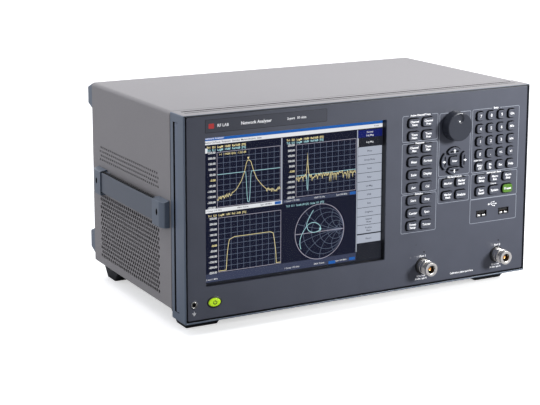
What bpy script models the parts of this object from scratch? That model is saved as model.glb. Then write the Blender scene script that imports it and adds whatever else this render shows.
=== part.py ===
"""A bench-top vector network analyzer, as separate sub-parts.

Constants are in millimetres and become metres where a mesh is made. A place on
the instrument is given by three distances: x from the left side seen from the
front, d back from the front frame's face, and z up from the underside of the
front frame. World +X is the same x, world +Y points to the rear and world +Z is
up. The origin is under the middle of the whole object, where its feet stand.
"""
import math

import bmesh
import bpy
from mathutils import Vector

MM = 0.001

# Case
WIDTH = 425.0
FRAME_HEIGHT = 214.0
FRAME_DEPTH = 31.0
CASE_DEPTH = 240.0
FOOT_HEIGHT = 12.5
SHEET = 1.2
GAP = 0.3
COVER_LOW = 9.0
TRAY_LOW = 7.6
CORNER_RADIUS = 4.0

# Furthest points, which set where the origin is
PORT_PROUD = 17.0
BUMPER_BACK = 252.6

# Front frame and the panel set into it
RIM = 3.0
WALL = 6.4
PANEL_FRONT = 1.0
PANEL_THICK = 3.0
PANEL_GAP = 0.5
PANEL_BACK = PANEL_FRONT + PANEL_THICK
SHOULDER = PANEL_BACK + GAP
TRIM_FROM = 14.0
TRIM_TO = 24.0
TRIM_DEEP = 1.8
TRIM_LOW = 9.0

# Display
SCREEN_X = (24.0, 237.6)
SCREEN_Z = (36.4, 189.8)
SCREEN_COLLAR = 3.0
COLLAR_BACK = 6.4
WINDOW_THICK = 1.2
MODULE_THICK = 9.0

# Keys
KEY_HEIGHT = 9.6
KEY_WIDE = 14.4
KEY_MIDDLE = 13.6
KEY_SMALL = 9.8
KEY_RADIUS = 3.0
KEY_CLEARANCE = 0.4
KEY_PROUD = 2.6
KEY_BAR_FRONT = PANEL_BACK + 0.5
KEY_BAR_BACK = KEY_BAR_FRONT + 1.3
KEY_BAR_HEIGHT = 11.8
KEY_BAR_MARGIN = 1.2
ROW_TOP = 183.1
ROW_PITCH = 14.07
WIDE_PITCH = 17.9
SMALL_PITCH = 14.1
MIDDLE_PITCH = 18.1
LEFT_GROUP_X = 280.1
MARKER_GROUP_X = 325.2
RIGHT_GROUP_X = 379.2

# Knob and the arrow keys under it
KNOB_X = 324.3
KNOB_Z = 175.9
KNOB_PROUD = 10.5
KNOB_FRONT_R = 15.6
KNOB_BASE_R = 16.4
DIMPLE_R = 4.6
DIMPLE_AT = 9.0
SHAFT_R = 3.0
BUSHING_R = 4.6
ARROW_Z = 137.0
ENTER_WIDE = 12.4

# Standby button, sockets and ports
BUTTON_X = 33.4
BUTTON_Z = 19.9
BUTTON_A = 6.9
BUTTON_B = 4.6
GROUND_X = 10.6
GROUND_Z = 19.8
GROUND_BORE_R = 2.05
USB_X = (364.0, 394.3)
USB_Z = 73.1
USB_WIDE = 13.8
USB_HIGH = 7.0
USB_DEEP = 15.0
USB_WALL = 0.5
PORT_X = (286.5, 386.5)
PORT_Z = 23.7
PORT_R = 7.95
PORT_BORE_R = 4.6
PORT_NUT_R = 9.3

# Strap handles: two end caps and the grip between them, on each side
CAP_HIGH = (93.5, 122.0)
CAP_FRONT_D = (34.0, 58.5)
CAP_REAR_D = (198.5, 222.5)
CAP_THICK = 10.5
GRIP_HIGH = (97.0, 121.0)
GRIP_IN = 5.0
GRIP_OUT = 8.6

# Feet, and the bumpers on the rear corners
FOOT_X = (8.0, 54.0)
FOOT_FRONT_D = (12.0, 58.0)
FOOT_REAR_D = (190.0, 236.0)
FOOT_SIDE_TAPER = 5.0
FOOT_FRONT_STANDS_D = (26.0, 48.0)
FOOT_REAR_STANDS_D = (214.0, 235.0)
BUMPER_WIDE = 34.0
BUMPER_TOP_Z = (184.0, 213.0)
BUMPER_LOW_Z = (16.0, 46.0)
BUMPER_SLOPE = 5.0

# Rear panel, fan and mains inlet
REAR_FRONT = 235.0
REAR_BACK = 237.0
REAR_INSET = 3.2
FAN_X = 345.0
FAN_Z = 120.0
FAN_SIZE = 80.0
FAN_THICK = 25.0
FAN_BORE_R = 38.0
ROTOR_R = 36.6
HUB_R = 16.0
BLADES = 7
INLET_X = 62.0
INLET_Z = 44.0

ORIGIN_D = (BUMPER_BACK - PORT_PROUD) / 2.0


# ---------------------------------------------------------------- helpers

def place(x, d, z):
    """World position, in millimetres, of a place on the instrument."""
    return Vector((x - WIDTH / 2.0, d - ORIGIN_D, z + FOOT_HEIGHT))


def make_material(name, colour, roughness, metallic=0.0, alpha=1.0):
    material = bpy.data.materials.new(name)
    material.use_nodes = True
    shader = material.node_tree.nodes["Principled BSDF"]
    shader.inputs["Base Color"].default_value = (*colour, 1.0)
    shader.inputs["Roughness"].default_value = roughness
    shader.inputs["Metallic"].default_value = metallic
    shader.inputs["Alpha"].default_value = alpha
    return material


def add_object(name, bm, material=None, origin=(0.0, 0.0, 0.0)):
    """Turns a bmesh in millimetres into an object whose origin is given in millimetres."""
    bmesh.ops.recalc_face_normals(bm, faces=bm.faces)
    centre = Vector(origin)
    for vert in bm.verts:
        vert.co = (vert.co - centre) * MM
    mesh = bpy.data.meshes.new(name)
    bm.to_mesh(mesh)
    bm.free()
    obj = bpy.data.objects.new(name, mesh)
    obj.location = centre * MM
    bpy.context.scene.collection.objects.link(obj)
    if material is not None:
        mesh.materials.append(material)
    return obj


def add_tool(name, bm):
    """A guide for a Boolean, which is not part of the object."""
    obj = add_object(name, bm)
    obj.hide_render = True
    obj.display_type = 'WIRE'
    return obj


def boolean(obj, tool, operation):
    modifier = obj.modifiers.new(operation.lower(), 'BOOLEAN')
    modifier.operation = operation
    modifier.solver = 'EXACT'
    modifier.object = tool


def cut(obj, bm):
    boolean(obj, add_tool("cut_" + obj.name + str(len(obj.modifiers)), bm), 'DIFFERENCE')


def join(obj, bm):
    boolean(obj, add_tool("join_" + obj.name + str(len(obj.modifiers)), bm), 'UNION')


def smooth(obj, angle=35.0):
    obj.data.shade_smooth()
    obj.data.set_sharp_from_angle(angle=math.radians(angle))


def rounded_rect(x0, x1, z0, z1, radius, steps=3):
    """Corner points of a rounded rectangle in the front view, counter-clockwise."""
    points = []
    corners = (
        (x1 - radius, z0 + radius, -90.0),
        (x1 - radius, z1 - radius, 0.0),
        (x0 + radius, z1 - radius, 90.0),
        (x0 + radius, z0 + radius, 180.0),
    )
    for cx, cz, start in corners:
        for step in range(steps + 1):
            angle = math.radians(start + 90.0 * step / steps)
            points.append((cx + radius * math.cos(angle), cz + radius * math.sin(angle)))
    return points


def rounded_box(x, z, wide, high, radius, steps=3):
    return rounded_rect(x - wide / 2, x + wide / 2, z - high / 2, z + high / 2, radius, steps)


def ellipse(x, z, a, b, count=28):
    turns = [2.0 * math.pi * i / count for i in range(count)]
    return [(x + a * math.cos(t), z + b * math.sin(t)) for t in turns]


def add_prism(bm, outline, d0, d1):
    """Extrudes a front-view outline from depth d0 back to depth d1."""
    front = [bm.verts.new(place(x, d0, z)) for x, z in outline]
    back = [bm.verts.new(place(x, d1, z)) for x, z in outline]
    bm.faces.new(front)
    bm.faces.new(list(reversed(back)))
    count = len(outline)
    for i in range(count):
        j = (i + 1) % count
        bm.faces.new((front[j], front[i], back[i], back[j]))


def prism(outline, d0, d1):
    bm = bmesh.new()
    add_prism(bm, outline, d0, d1)
    return bm


def add_block(bm, xs, ds, zs):
    outline = [(xs[0], zs[0]), (xs[1], zs[0]), (xs[1], zs[1]), (xs[0], zs[1])]
    add_prism(bm, outline, ds[0], ds[1])


def block(xs, ds, zs):
    bm = bmesh.new()
    add_block(bm, xs, ds, zs)
    return bm


def side_prism(outline, x0, x1):
    """Extrudes an outline of (depth, height) points from x0 to x1."""
    bm = bmesh.new()
    left = [bm.verts.new(place(x0, d, z)) for d, z in outline]
    right = [bm.verts.new(place(x1, d, z)) for d, z in outline]
    bm.faces.new(left)
    bm.faces.new(list(reversed(right)))
    count = len(outline)
    for i in range(count):
        j = (i + 1) % count
        bm.faces.new((left[j], left[i], right[i], right[j]))
    return bm


def loft(lower, upper):
    """Joins two outlines of world points, of equal length, into one closed body."""
    bm = bmesh.new()
    low = [bm.verts.new(point) for point in lower]
    high = [bm.verts.new(point) for point in upper]
    bm.faces.new(low)
    bm.faces.new(list(reversed(high)))
    count = len(low)
    for i in range(count):
        j = (i + 1) % count
        bm.faces.new((low[j], low[i], high[i], high[j]))
    return bm


def add_turned(bm, profile, x, z, segments):
    """Spins a closed profile of (radius, depth) points about an axis along the depth."""
    rings = []
    for radius, depth in profile:
        if radius < 1e-6:
            rings.append([bm.verts.new(place(x, depth, z))])
            continue
        ring = []
        for i in range(segments):
            angle = 2.0 * math.pi * i / segments
            point = place(x + radius * math.cos(angle), depth, z + radius * math.sin(angle))
            ring.append(bm.verts.new(point))
        rings.append(ring)
    for here, there in zip(rings, rings[1:] + rings[:1]):
        if len(here) == 1 and len(there) == 1:
            continue
        for i in range(segments):
            j = (i + 1) % segments
            if len(here) == 1:
                bm.faces.new((here[0], there[i], there[j]))
            elif len(there) == 1:
                bm.faces.new((here[i], there[0], here[j]))
            else:
                bm.faces.new((here[i], there[i], there[j], here[j]))


def turned(profile, x, z, segments=32):
    bm = bmesh.new()
    add_turned(bm, profile, x, z, segments)
    return bm


# ---------------------------------------------------------------- key layout

def row_z(row):
    return ROW_TOP - ROW_PITCH * row


def spread(middle, pitch, count):
    """Evenly spaced centres, left to right, about a middle."""
    return [middle + pitch * (i - (count - 1) / 2.0) for i in range(count)]


def key_rows():
    """Each row of keys that shares one bar: name, key centres, key width, height."""
    rows = []
    left = spread(LEFT_GROUP_X, WIDE_PITCH, 2)
    for i in range(2):
        rows.append(("channel_keys_%d" % (i + 1), left, KEY_WIDE, row_z(i)))
    for i in range(4):
        rows.append(("response_keys_%d" % (i + 1), left, KEY_WIDE, row_z(i + 2)))
    for i in range(3):
        rows.append(("stimulus_keys_%d" % (i + 1), left, KEY_WIDE, row_z(i + 6)))
    marker = spread(MARKER_GROUP_X, WIDE_PITCH, 2)
    for i in range(2):
        rows.append(("marker_keys_%d" % (i + 1), marker, KEY_WIDE, row_z(i + 5)))
    entry = spread(RIGHT_GROUP_X, SMALL_PITCH, 4)
    for i in range(5):
        rows.append(("entry_keys_%d" % (i + 1), entry, KEY_SMALL, row_z(i)))
    state = spread(RIGHT_GROUP_X, MIDDLE_PITCH, 3)
    rows.append(("system_keys_1", state, KEY_MIDDLE, row_z(5)))
    rows.append(("system_keys_2", state[:2], KEY_MIDDLE, row_z(6)))
    rows.append(("preset_key", state[2:], KEY_MIDDLE, row_z(6)))
    return rows


def petal(direction, grow=0.0):
    """Outline of an arrow key: straight towards the middle, round on the outside."""
    sideways = direction in ("left", "right")
    inner, shoulder, outer = (9.4, 12.4, 17.4) if sideways else (7.2, 10.4, 15.2)
    inner_half = 6.5 + grow
    outer_half = 9.2 + grow
    rise = outer - shoulder
    radius = (outer_half ** 2 + rise ** 2) / (2.0 * rise)
    sweep = math.asin(outer_half / radius)
    top = outer + grow
    points = [(-inner_half, inner - grow), (inner_half, inner - grow)]
    steps = 8
    for i in range(steps + 1):
        angle = sweep * (1.0 - 2.0 * i / steps)
        points.append((radius * math.sin(angle), top - radius + radius * math.cos(angle)))
    turn = {"up": 0, "left": 1, "down": 2, "right": 3}[direction]
    for _ in range(turn):
        points = [(-v, u) for u, v in points]
    return [(KNOB_X + u, ARROW_Z + v) for u, v in points]


def single_keys():
    """The keys around the middle of the arrow group: name and outline maker."""
    keys = []
    for direction in ("up", "down", "left", "right"):
        keys.append(("arrow_key_" + direction, lambda grow, way=direction: petal(way, grow)))
    keys.append((
        "enter_key",
        lambda grow: rounded_box(
            KNOB_X, ARROW_Z, ENTER_WIDE + 2 * grow, KEY_HEIGHT + 2 * grow, KEY_RADIUS),
    ))
    return keys


# ---------------------------------------------------------------- case

def make_front_frame(material):
    outline = rounded_rect(0.0, WIDTH, 0.0, FRAME_HEIGHT, CORNER_RADIUS, 4)
    frame = add_object("front_frame", prism(outline, 0.0, FRAME_DEPTH), material)
    recess = rounded_rect(RIM, WIDTH - RIM, RIM, FRAME_HEIGHT - RIM, 3.0)
    cut(frame, prism(recess, -1.0, SHOULDER))
    middle = rounded_rect(WALL, WIDTH - WALL, WALL, FRAME_HEIGHT - WALL, 2.0)
    cut(frame, prism(middle, -1.0, FRAME_DEPTH + 1.0))
    channels = bmesh.new()
    for x in (0.0, WIDTH):
        xs = (x - TRIM_DEEP - GAP, x + TRIM_DEEP + GAP)
        add_block(channels, xs, (TRIM_FROM, TRIM_TO), (TRIM_LOW, FRAME_HEIGHT - TRIM_LOW))
    cut(frame, channels)
    return frame


def make_side_trim(name, material, outer, inner):
    xs = (min(outer, inner), max(outer, inner))
    ds = (TRIM_FROM + GAP, TRIM_TO - GAP)
    zs = (TRIM_LOW + GAP, FRAME_HEIGHT - TRIM_LOW - GAP)
    return add_object(name, block(xs, ds, zs), material)


def make_cover(material):
    """A sheet bent into an upside-down U: left side, top and right side."""
    radius = CORNER_RADIUS
    outer = []
    inner = []
    for cx, start in ((radius, 180.0), (WIDTH - radius, 90.0)):
        for step in range(5):
            angle = math.radians(start - 90.0 * step / 4)
            turn = (math.cos(angle), math.sin(angle))
            middle_z = FRAME_HEIGHT - radius
            outer.append((cx + radius * turn[0], middle_z + radius * turn[1]))
            thin = radius - SHEET
            inner.append((cx + thin * turn[0], middle_z + thin * turn[1]))
    outline = [(SHEET, COVER_LOW), (0.0, COVER_LOW)] + outer
    outline += [(WIDTH, COVER_LOW), (WIDTH - SHEET, COVER_LOW)] + list(reversed(inner))
    cover = add_object("cover", prism(outline, FRAME_DEPTH + GAP, CASE_DEPTH), material)
    smooth(cover)
    return cover


def make_bottom_cover(material):
    """A tray whose sides stand up just inside the cover."""
    x0 = SHEET + GAP
    wall_top = 40.0
    low = TRAY_LOW
    outline = [(x0, wall_top), (x0, low), (WIDTH - x0, low), (WIDTH - x0, wall_top)]
    outline += [(WIDTH - x0 - SHEET, wall_top), (WIDTH - x0 - SHEET, low + SHEET)]
    outline += [(x0 + SHEET, low + SHEET), (x0 + SHEET, wall_top)]
    tray = prism(outline, FRAME_DEPTH + GAP, CASE_DEPTH - 2.0)
    return add_object("bottom_cover", tray, material)


def make_rear_panel(material):
    low = TRAY_LOW + SHEET + GAP
    top = FRAME_HEIGHT - SHEET - GAP
    xs = (REAR_INSET, WIDTH - REAR_INSET)
    panel = add_object("rear_panel", block(xs, (REAR_FRONT, REAR_BACK), (low, top)), material)
    arcs = bmesh.new()
    spoke = math.radians(6.0)
    for radius in (12.0, 20.0, 28.0, 36.0):
        for quarter in range(4):
            start = math.pi / 2 * quarter + spoke
            stop = math.pi / 2 * (quarter + 1) - spoke
            steps = 5
            turns = [start + (stop - start) * i / steps for i in range(steps + 1)]
            ring = [(FAN_X + (radius + 2.5) * math.cos(t), FAN_Z + (radius + 2.5) * math.sin(t))
                    for t in turns]
            ring += [(FAN_X + (radius - 2.5) * math.cos(t), FAN_Z + (radius - 2.5) * math.sin(t))
                     for t in reversed(turns)]
            add_prism(arcs, ring, REAR_FRONT - 1.0, REAR_BACK + 1.0)
    cut(panel, arcs)
    hole = rounded_box(INLET_X, INLET_Z, 28.2, 20.2, 2.0)
    cut(panel, prism(hole, REAR_FRONT - 1.0, REAR_BACK + 1.0))
    return panel


def make_foot(name, material, xs, ds, stands):
    """A rubber foot, narrower where it stands than under the tray and the frame."""
    side = FOOT_SIDE_TAPER
    top = TRAY_LOW - GAP
    bottom = -FOOT_HEIGHT
    low = [place(x, d, bottom) for x, d in (
        (xs[0] + side, stands[0]), (xs[1] - side, stands[0]),
        (xs[1] - side, stands[1]), (xs[0] + side, stands[1]))]
    high = [place(x, d, top) for x, d in (
        (xs[0], ds[0]), (xs[1], ds[0]), (xs[1], ds[1]), (xs[0], ds[1]))]
    foot = add_object(name, loft(low, high), material)
    if ds[0] < FRAME_DEPTH:
        under = (xs[0] - 1.0, xs[1] + 1.0)
        cut(foot, block(under, (ds[0] - 1.0, FRAME_DEPTH + GAP), (-GAP, top + 1.0)))
    return foot


def make_bumper(name, material, xs, zs):
    """A block that keeps the rear connectors off the floor or a wall."""
    d0 = CASE_DEPTH + GAP
    d1 = BUMPER_BACK
    outline = [(d0, zs[0]), (d1, zs[0] + BUMPER_SLOPE), (d1, zs[1] - BUMPER_SLOPE), (d0, zs[1])]
    bumper = add_object(name, side_prism(outline, xs[0], xs[1]), material)
    inside = 5.0
    boss_z = (zs[0] + inside, zs[1] - inside)
    boss = block((xs[0] + inside, xs[1] - inside), (REAR_BACK + GAP, d0 + 2.0), boss_z)
    join(bumper, boss)
    return bumper


# ---------------------------------------------------------------- front panel

def make_front_panel(material):
    edge = RIM + PANEL_GAP
    outline = rounded_rect(edge, WIDTH - edge, edge, FRAME_HEIGHT - edge, 2.5)
    panel = add_object("front_panel", prism(outline, PANEL_FRONT, PANEL_BACK), material)
    collar = SCREEN_COLLAR
    join(panel, block(
        (SCREEN_X[0] - collar, SCREEN_X[1] + collar), (PANEL_BACK - 1.0, COLLAR_BACK),
        (SCREEN_Z[0] - collar, SCREEN_Z[1] + collar)))
    holes = bmesh.new()
    through = (PANEL_FRONT - 1.0, COLLAR_BACK + 1.0)
    add_prism(holes, rounded_rect(*SCREEN_X, *SCREEN_Z, 1.5), *through)
    for _, centres, wide, z in key_rows():
        for x in centres:
            hole = rounded_box(
                x, z, wide + 2 * KEY_CLEARANCE, KEY_HEIGHT + 2 * KEY_CLEARANCE, KEY_RADIUS, 2)
            add_prism(holes, hole, *through)
    for _, outline_at in single_keys():
        add_prism(holes, outline_at(KEY_CLEARANCE), *through)
    add_prism(holes, ellipse(KNOB_X, KNOB_Z, BUSHING_R + 0.4, BUSHING_R + 0.4, 20), *through)
    add_prism(holes, ellipse(
        BUTTON_X, BUTTON_Z, BUTTON_A + KEY_CLEARANCE, BUTTON_B + KEY_CLEARANCE), *through)
    add_prism(holes, ellipse(GROUND_X, GROUND_Z, 4.0, 4.0, 20), *through)
    for x in USB_X:
        wide = USB_WIDE + 2 * GAP
        high = USB_HIGH + 2 * GAP
        add_prism(holes, rounded_box(x, USB_Z, wide, high, 0.2, 1), *through)
    for x in PORT_X:
        add_prism(holes, ellipse(x, PORT_Z, PORT_R + GAP, PORT_R + GAP, 24), *through)
    cut(panel, holes)
    return panel


def make_display(window_material, module_material):
    margin = SCREEN_COLLAR - GAP
    xs = (SCREEN_X[0] - margin, SCREEN_X[1] + margin)
    zs = (SCREEN_Z[0] - margin, SCREEN_Z[1] + margin)
    window_front = COLLAR_BACK + GAP
    window_back = window_front + WINDOW_THICK
    window = add_object(
        "display_window", block(xs, (window_front, window_back), zs), window_material)
    module_front = window_back + GAP
    module_xs = (xs[0] - 2.0, xs[1] + 4.0)
    module_ds = (module_front, module_front + MODULE_THICK)
    module = add_object("display_module", block(module_xs, module_ds, zs), module_material)
    picture = block(
        (SCREEN_X[0] + 1.0, SCREEN_X[1] - 1.0), (module_front - 1.0, module_front + 0.6),
        (SCREEN_Z[0] + 1.0, SCREEN_Z[1] - 1.0))
    cut(module, picture)
    return window, module


def make_key_row(name, centres, wide, z, material):
    """Caps that stand through the panel, joined by one bar behind it."""
    reach = wide / 2 + KEY_BAR_MARGIN
    bar = rounded_rect(
        centres[0] - reach, centres[-1] + reach,
        z - KEY_BAR_HEIGHT / 2, z + KEY_BAR_HEIGHT / 2, 1.5, 1)
    origin = place(sum(centres) / len(centres), KEY_BAR_FRONT, z)
    row = add_object(name, prism(bar, KEY_BAR_FRONT, KEY_BAR_BACK), material, origin)
    caps = bmesh.new()
    for x in centres:
        cap = rounded_box(x, z, wide, KEY_HEIGHT, KEY_RADIUS, 2)
        add_prism(caps, cap, PANEL_FRONT - KEY_PROUD, KEY_BAR_BACK - 0.5)
    join(row, caps)
    return row


def make_single_key(name, outline_at, material):
    """A cap with a rim behind the panel that keeps it in."""
    rim = outline_at(0.9)
    middle_x = sum(x for x, _ in rim) / len(rim)
    middle_z = sum(z for _, z in rim) / len(rim)
    origin = place(middle_x, KEY_BAR_FRONT, middle_z)
    key = add_object(name, prism(rim, KEY_BAR_FRONT, KEY_BAR_BACK), material, origin)
    cap = prism(outline_at(0.0), PANEL_FRONT - KEY_PROUD, KEY_BAR_BACK - 0.5)
    join(key, cap)
    return key


def make_knob(material):
    front = -KNOB_PROUD
    back = PANEL_FRONT - 0.4
    profile = [
        (0.0, front), (KNOB_FRONT_R - 1.0, front), (KNOB_FRONT_R, front + 1.0),
        (KNOB_BASE_R - 0.3, back - 2.0), (KNOB_BASE_R, back - 1.0), (KNOB_BASE_R, back),
        (BUSHING_R + 1.4, back), (BUSHING_R + 1.4, -1.6), (SHAFT_R + 0.05, -1.6),
        (SHAFT_R + 0.05, front + 2.5), (0.0, front + 2.5),
    ]
    origin = place(KNOB_X, back, KNOB_Z)
    knob = add_object("knob", turned(profile, KNOB_X, KNOB_Z, 40), material, origin)
    ball = bmesh.new()
    bmesh.ops.create_uvsphere(ball, u_segments=20, v_segments=12, radius=DIMPLE_R * 1.6)
    ball_d = front - DIMPLE_R * 1.25
    bmesh.ops.translate(ball, verts=ball.verts, vec=place(KNOB_X, ball_d, KNOB_Z + DIMPLE_AT))
    cut(knob, ball)
    smooth(knob)
    return knob


def make_key_board(material):
    """The circuit board behind the keys, with the knob's encoder on it."""
    front = 9.4
    back = 11.0
    outline = [(256.0, 60.0), (348.0, 60.0), (348.0, 86.0), (409.0, 86.0)]
    outline += [(409.0, 196.0), (256.0, 196.0)]
    board = add_object("key_board", prism(outline, front, back), material)
    body_front = PANEL_BACK + 0.5
    tip = 3.0 - KNOB_PROUD
    encoder = turned([
        (0.0, tip), (SHAFT_R, tip), (SHAFT_R, -1.0), (BUSHING_R, -1.0),
        (BUSHING_R, body_front), (7.0, body_front), (7.0, front + 0.5), (0.0, front + 0.5),
    ], KNOB_X, KNOB_Z, 20)
    join(board, encoder)
    return board


def make_standby_button(material):
    flange = ellipse(BUTTON_X, BUTTON_Z, BUTTON_A + 1.4, BUTTON_B + 1.4)
    origin = place(BUTTON_X, KEY_BAR_FRONT, BUTTON_Z)
    button = add_object(
        "standby_button", prism(flange, KEY_BAR_FRONT, KEY_BAR_BACK), material, origin)
    cap = ellipse(BUTTON_X, BUTTON_Z, BUTTON_A, BUTTON_B)
    join(button, prism(cap, PANEL_FRONT - 1.5, KEY_BAR_BACK - 0.5))
    return button


def make_usb_socket(name, x, material):
    """A folded metal shell, open at the front, with the contact tongue inside."""
    front = PANEL_FRONT - 0.2
    back = front + USB_DEEP
    half_w = USB_WIDE / 2
    half_h = USB_HIGH / 2
    shell = block((x - half_w, x + half_w), (front, back), (USB_Z - half_h, USB_Z + half_h))
    socket = add_object(name, shell, material)
    half_w -= USB_WALL
    half_h -= USB_WALL
    inside = block(
        (x - half_w, x + half_w), (front - 1.0, back - 1.0), (USB_Z - half_h, USB_Z + half_h))
    cut(socket, inside)
    tongue = block((x - 5.6, x + 5.6), (front + 5.2, back - 0.5), (USB_Z + 0.2, USB_Z + 2.1))
    join(socket, tongue)
    return socket


def make_port(name, x, material):
    """A coaxial test port: nut, outer conductor and the contact in its bore."""
    tip = -PORT_PROUD
    floor = tip + 8.0
    profile = [
        (0.0, tip + 5.4), (1.0, tip + 5.4), (1.6, tip + 6.0), (1.6, floor),
        (PORT_BORE_R, floor), (PORT_BORE_R, tip), (PORT_R - 0.6, tip), (PORT_R, tip + 0.6),
        (PORT_R, -2.6), (PORT_NUT_R, -2.6), (PORT_NUT_R, PANEL_FRONT - GAP),
        (PORT_R - 0.3, PANEL_FRONT - GAP), (PORT_R - 0.3, 21.0), (0.0, 21.0),
    ]
    port = add_object(name, turned(profile, x, PORT_Z, 24), material)
    smooth(port)
    return port


def make_ground_socket(material):
    front = PANEL_FRONT - 1.0
    profile = [
        (GROUND_BORE_R, front), (4.6, front), (4.6, PANEL_FRONT - GAP),
        (3.6, PANEL_FRONT - GAP), (3.6, 16.0), (0.0, 16.0), (0.0, 13.0), (GROUND_BORE_R, 13.0),
    ]
    socket = add_object("ground_socket", turned(profile, GROUND_X, GROUND_Z, 20), material)
    smooth(socket)
    return socket


# ---------------------------------------------------------------- handles

def outward(side, distance):
    """The x of a point a distance outside the left or the right side."""
    return -distance if side == "left" else WIDTH + distance


def make_handle_cap(name, side, ds, free_end, material):
    """An end cap screwed to the case side; its free end slopes down to the case."""
    near, far = ds
    slope = 4.0
    if free_end == "front":
        plan = [(near, GAP), (near, CAP_THICK - 4.5), (near + slope, CAP_THICK - 1.0)]
        plan += [(near + 2.5 * slope, CAP_THICK), (far, CAP_THICK), (far, GAP)]
    else:
        plan = [(near, GAP), (near, CAP_THICK), (far - 2.5 * slope, CAP_THICK)]
        plan += [(far - slope, CAP_THICK - 1.0), (far, CAP_THICK - 4.5), (far, GAP)]
    lower = [place(outward(side, out), d, CAP_HIGH[0]) for d, out in plan]
    upper = []
    for d, out in plan:
        drop = 3.0 if out > 2.0 else 0.0
        upper.append(place(outward(side, out), d, CAP_HIGH[1] - drop))
    return add_object(name, loft(lower, upper), material)


def make_handle_grip(name, side, material):
    """The part of the strap between the caps, bowed a little away from the case."""
    start = CAP_FRONT_D[1] + GAP
    stop = CAP_REAR_D[0] - GAP
    steps = 10
    outer = []
    inner = []
    for i in range(steps + 1):
        share = i / steps
        bow = 2.4 * math.sin(math.pi * share)
        d = start + (stop - start) * share
        outer.append((d, GRIP_OUT + bow))
        inner.append((d, GRIP_IN + bow))
    plan = outer + list(reversed(inner))
    lower = [place(outward(side, out), d, GRIP_HIGH[0]) for d, out in plan]
    upper = [place(outward(side, out), d, GRIP_HIGH[1]) for d, out in plan]
    middle = place(outward(side, GRIP_IN), (start + stop) / 2, sum(GRIP_HIGH) / 2)
    return add_object(name, loft(lower, upper), material, middle)


# ---------------------------------------------------------------- inside and rear

def make_fan(housing_material, rotor_material):
    back = REAR_FRONT - GAP
    front = back - FAN_THICK
    half = FAN_SIZE / 2
    outline = rounded_rect(FAN_X - half, FAN_X + half, FAN_Z - half, FAN_Z + half, 3.0, 2)
    housing = add_object("fan_housing", prism(outline, front, back), housing_material)
    cut(housing, prism(ellipse(FAN_X, FAN_Z, FAN_BORE_R, FAN_BORE_R, 32), front - 1, back + 1))
    arms = bmesh.new()
    arm_ds = (front + 1.0, front + 4.0)
    reach = FAN_BORE_R + 1.0
    add_block(arms, (FAN_X - reach, FAN_X + reach), arm_ds, (FAN_Z - 2.5, FAN_Z + 2.5))
    join(housing, arms)
    posts = bmesh.new()
    add_block(posts, (FAN_X - 2.4, FAN_X + 2.4), arm_ds, (FAN_Z - reach, FAN_Z + reach))
    join(housing, posts)
    hub_front = front + 0.5
    join(housing, turned([
        (0.0, hub_front), (14.0, hub_front), (14.0, front + 5.0), (2.5, front + 5.0),
        (2.5, front + 15.0), (0.0, front + 15.0)], FAN_X, FAN_Z, 20))

    near = front + 5.6
    far = back - 1.5
    hub = turned([
        (2.6, near), (HUB_R, near), (HUB_R, far), (0.0, far), (0.0, front + 15.6),
        (2.6, front + 15.6)], FAN_X, FAN_Z, 28)
    rotor = add_object("fan_rotor", hub, rotor_material, place(FAN_X, far, FAN_Z))
    blades = bmesh.new()
    for index in range(BLADES):
        base = 2.0 * math.pi * index / BLADES
        lead = [base, base + math.radians(30.0)]
        corners = []
        for radius in (HUB_R - 1.5, ROTOR_R):
            for angle, depth in ((lead[0], near + 0.8), (lead[1], far - 0.8)):
                corners.append((radius, angle, depth))
        thick = 0.9
        verts = []
        for radius, angle, depth in corners:
            for shift in (-thick, thick):
                turn = angle + shift / radius
                verts.append(blades.verts.new(place(
                    FAN_X + radius * math.cos(turn), depth, FAN_Z + radius * math.sin(turn))))
        faces = ((0, 1, 3, 2), (4, 6, 7, 5), (0, 4, 5, 1), (2, 3, 7, 6), (0, 2, 6, 4), (1, 5, 7, 3))
        for face in faces:
            blades.faces.new([verts[i] for i in face])
    bmesh.ops.triangulate(blades, faces=blades.faces)
    bmesh.ops.recalc_face_normals(blades, faces=blades.faces)
    join(rotor, blades)
    return housing, rotor


def make_power_inlet(material):
    """A mains inlet: a hollow body with three flat pins and a flange outside the panel."""
    front = 219.0
    mouth = REAR_BACK + 2.2
    body = rounded_box(INLET_X, INLET_Z, 27.6, 19.6, 1.8)
    inlet = add_object("power_inlet", prism(body, front, mouth), material)
    flange = rounded_box(INLET_X, INLET_Z, 48.0, 24.0, 4.0)
    join(inlet, prism(flange, REAR_BACK + GAP, mouth - 0.2))
    cut(inlet, prism(rounded_box(INLET_X, INLET_Z, 24.4, 16.4, 3.0), front + 2.0, mouth + 1.0))
    pins = bmesh.new()
    for x, z in ((-7.0, -2.0), (7.0, -2.0), (0.0, 2.0)):
        xs = (INLET_X + x - 1.0, INLET_X + x + 1.0)
        zs = (INLET_Z + z - 2.0, INLET_Z + z + 2.0)
        add_block(pins, xs, (front + 1.0, mouth - 5.0), zs)
    join(inlet, pins)
    return inlet


def make_inner_box(name, xs, ds, zs, material):
    """A shielded module: a box with a stepped lid."""
    box = add_object(name, block(xs, ds, zs), material)
    inset = 4.0
    lid = block(
        (xs[0] + inset, xs[1] - inset), (ds[0] + inset, ds[1] - inset), (zs[1] - 1.0, zs[1] + 2.0))
    join(box, lid)
    return box


def mirrored(xs):
    return (WIDTH - xs[1], WIDTH - xs[0])


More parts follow.
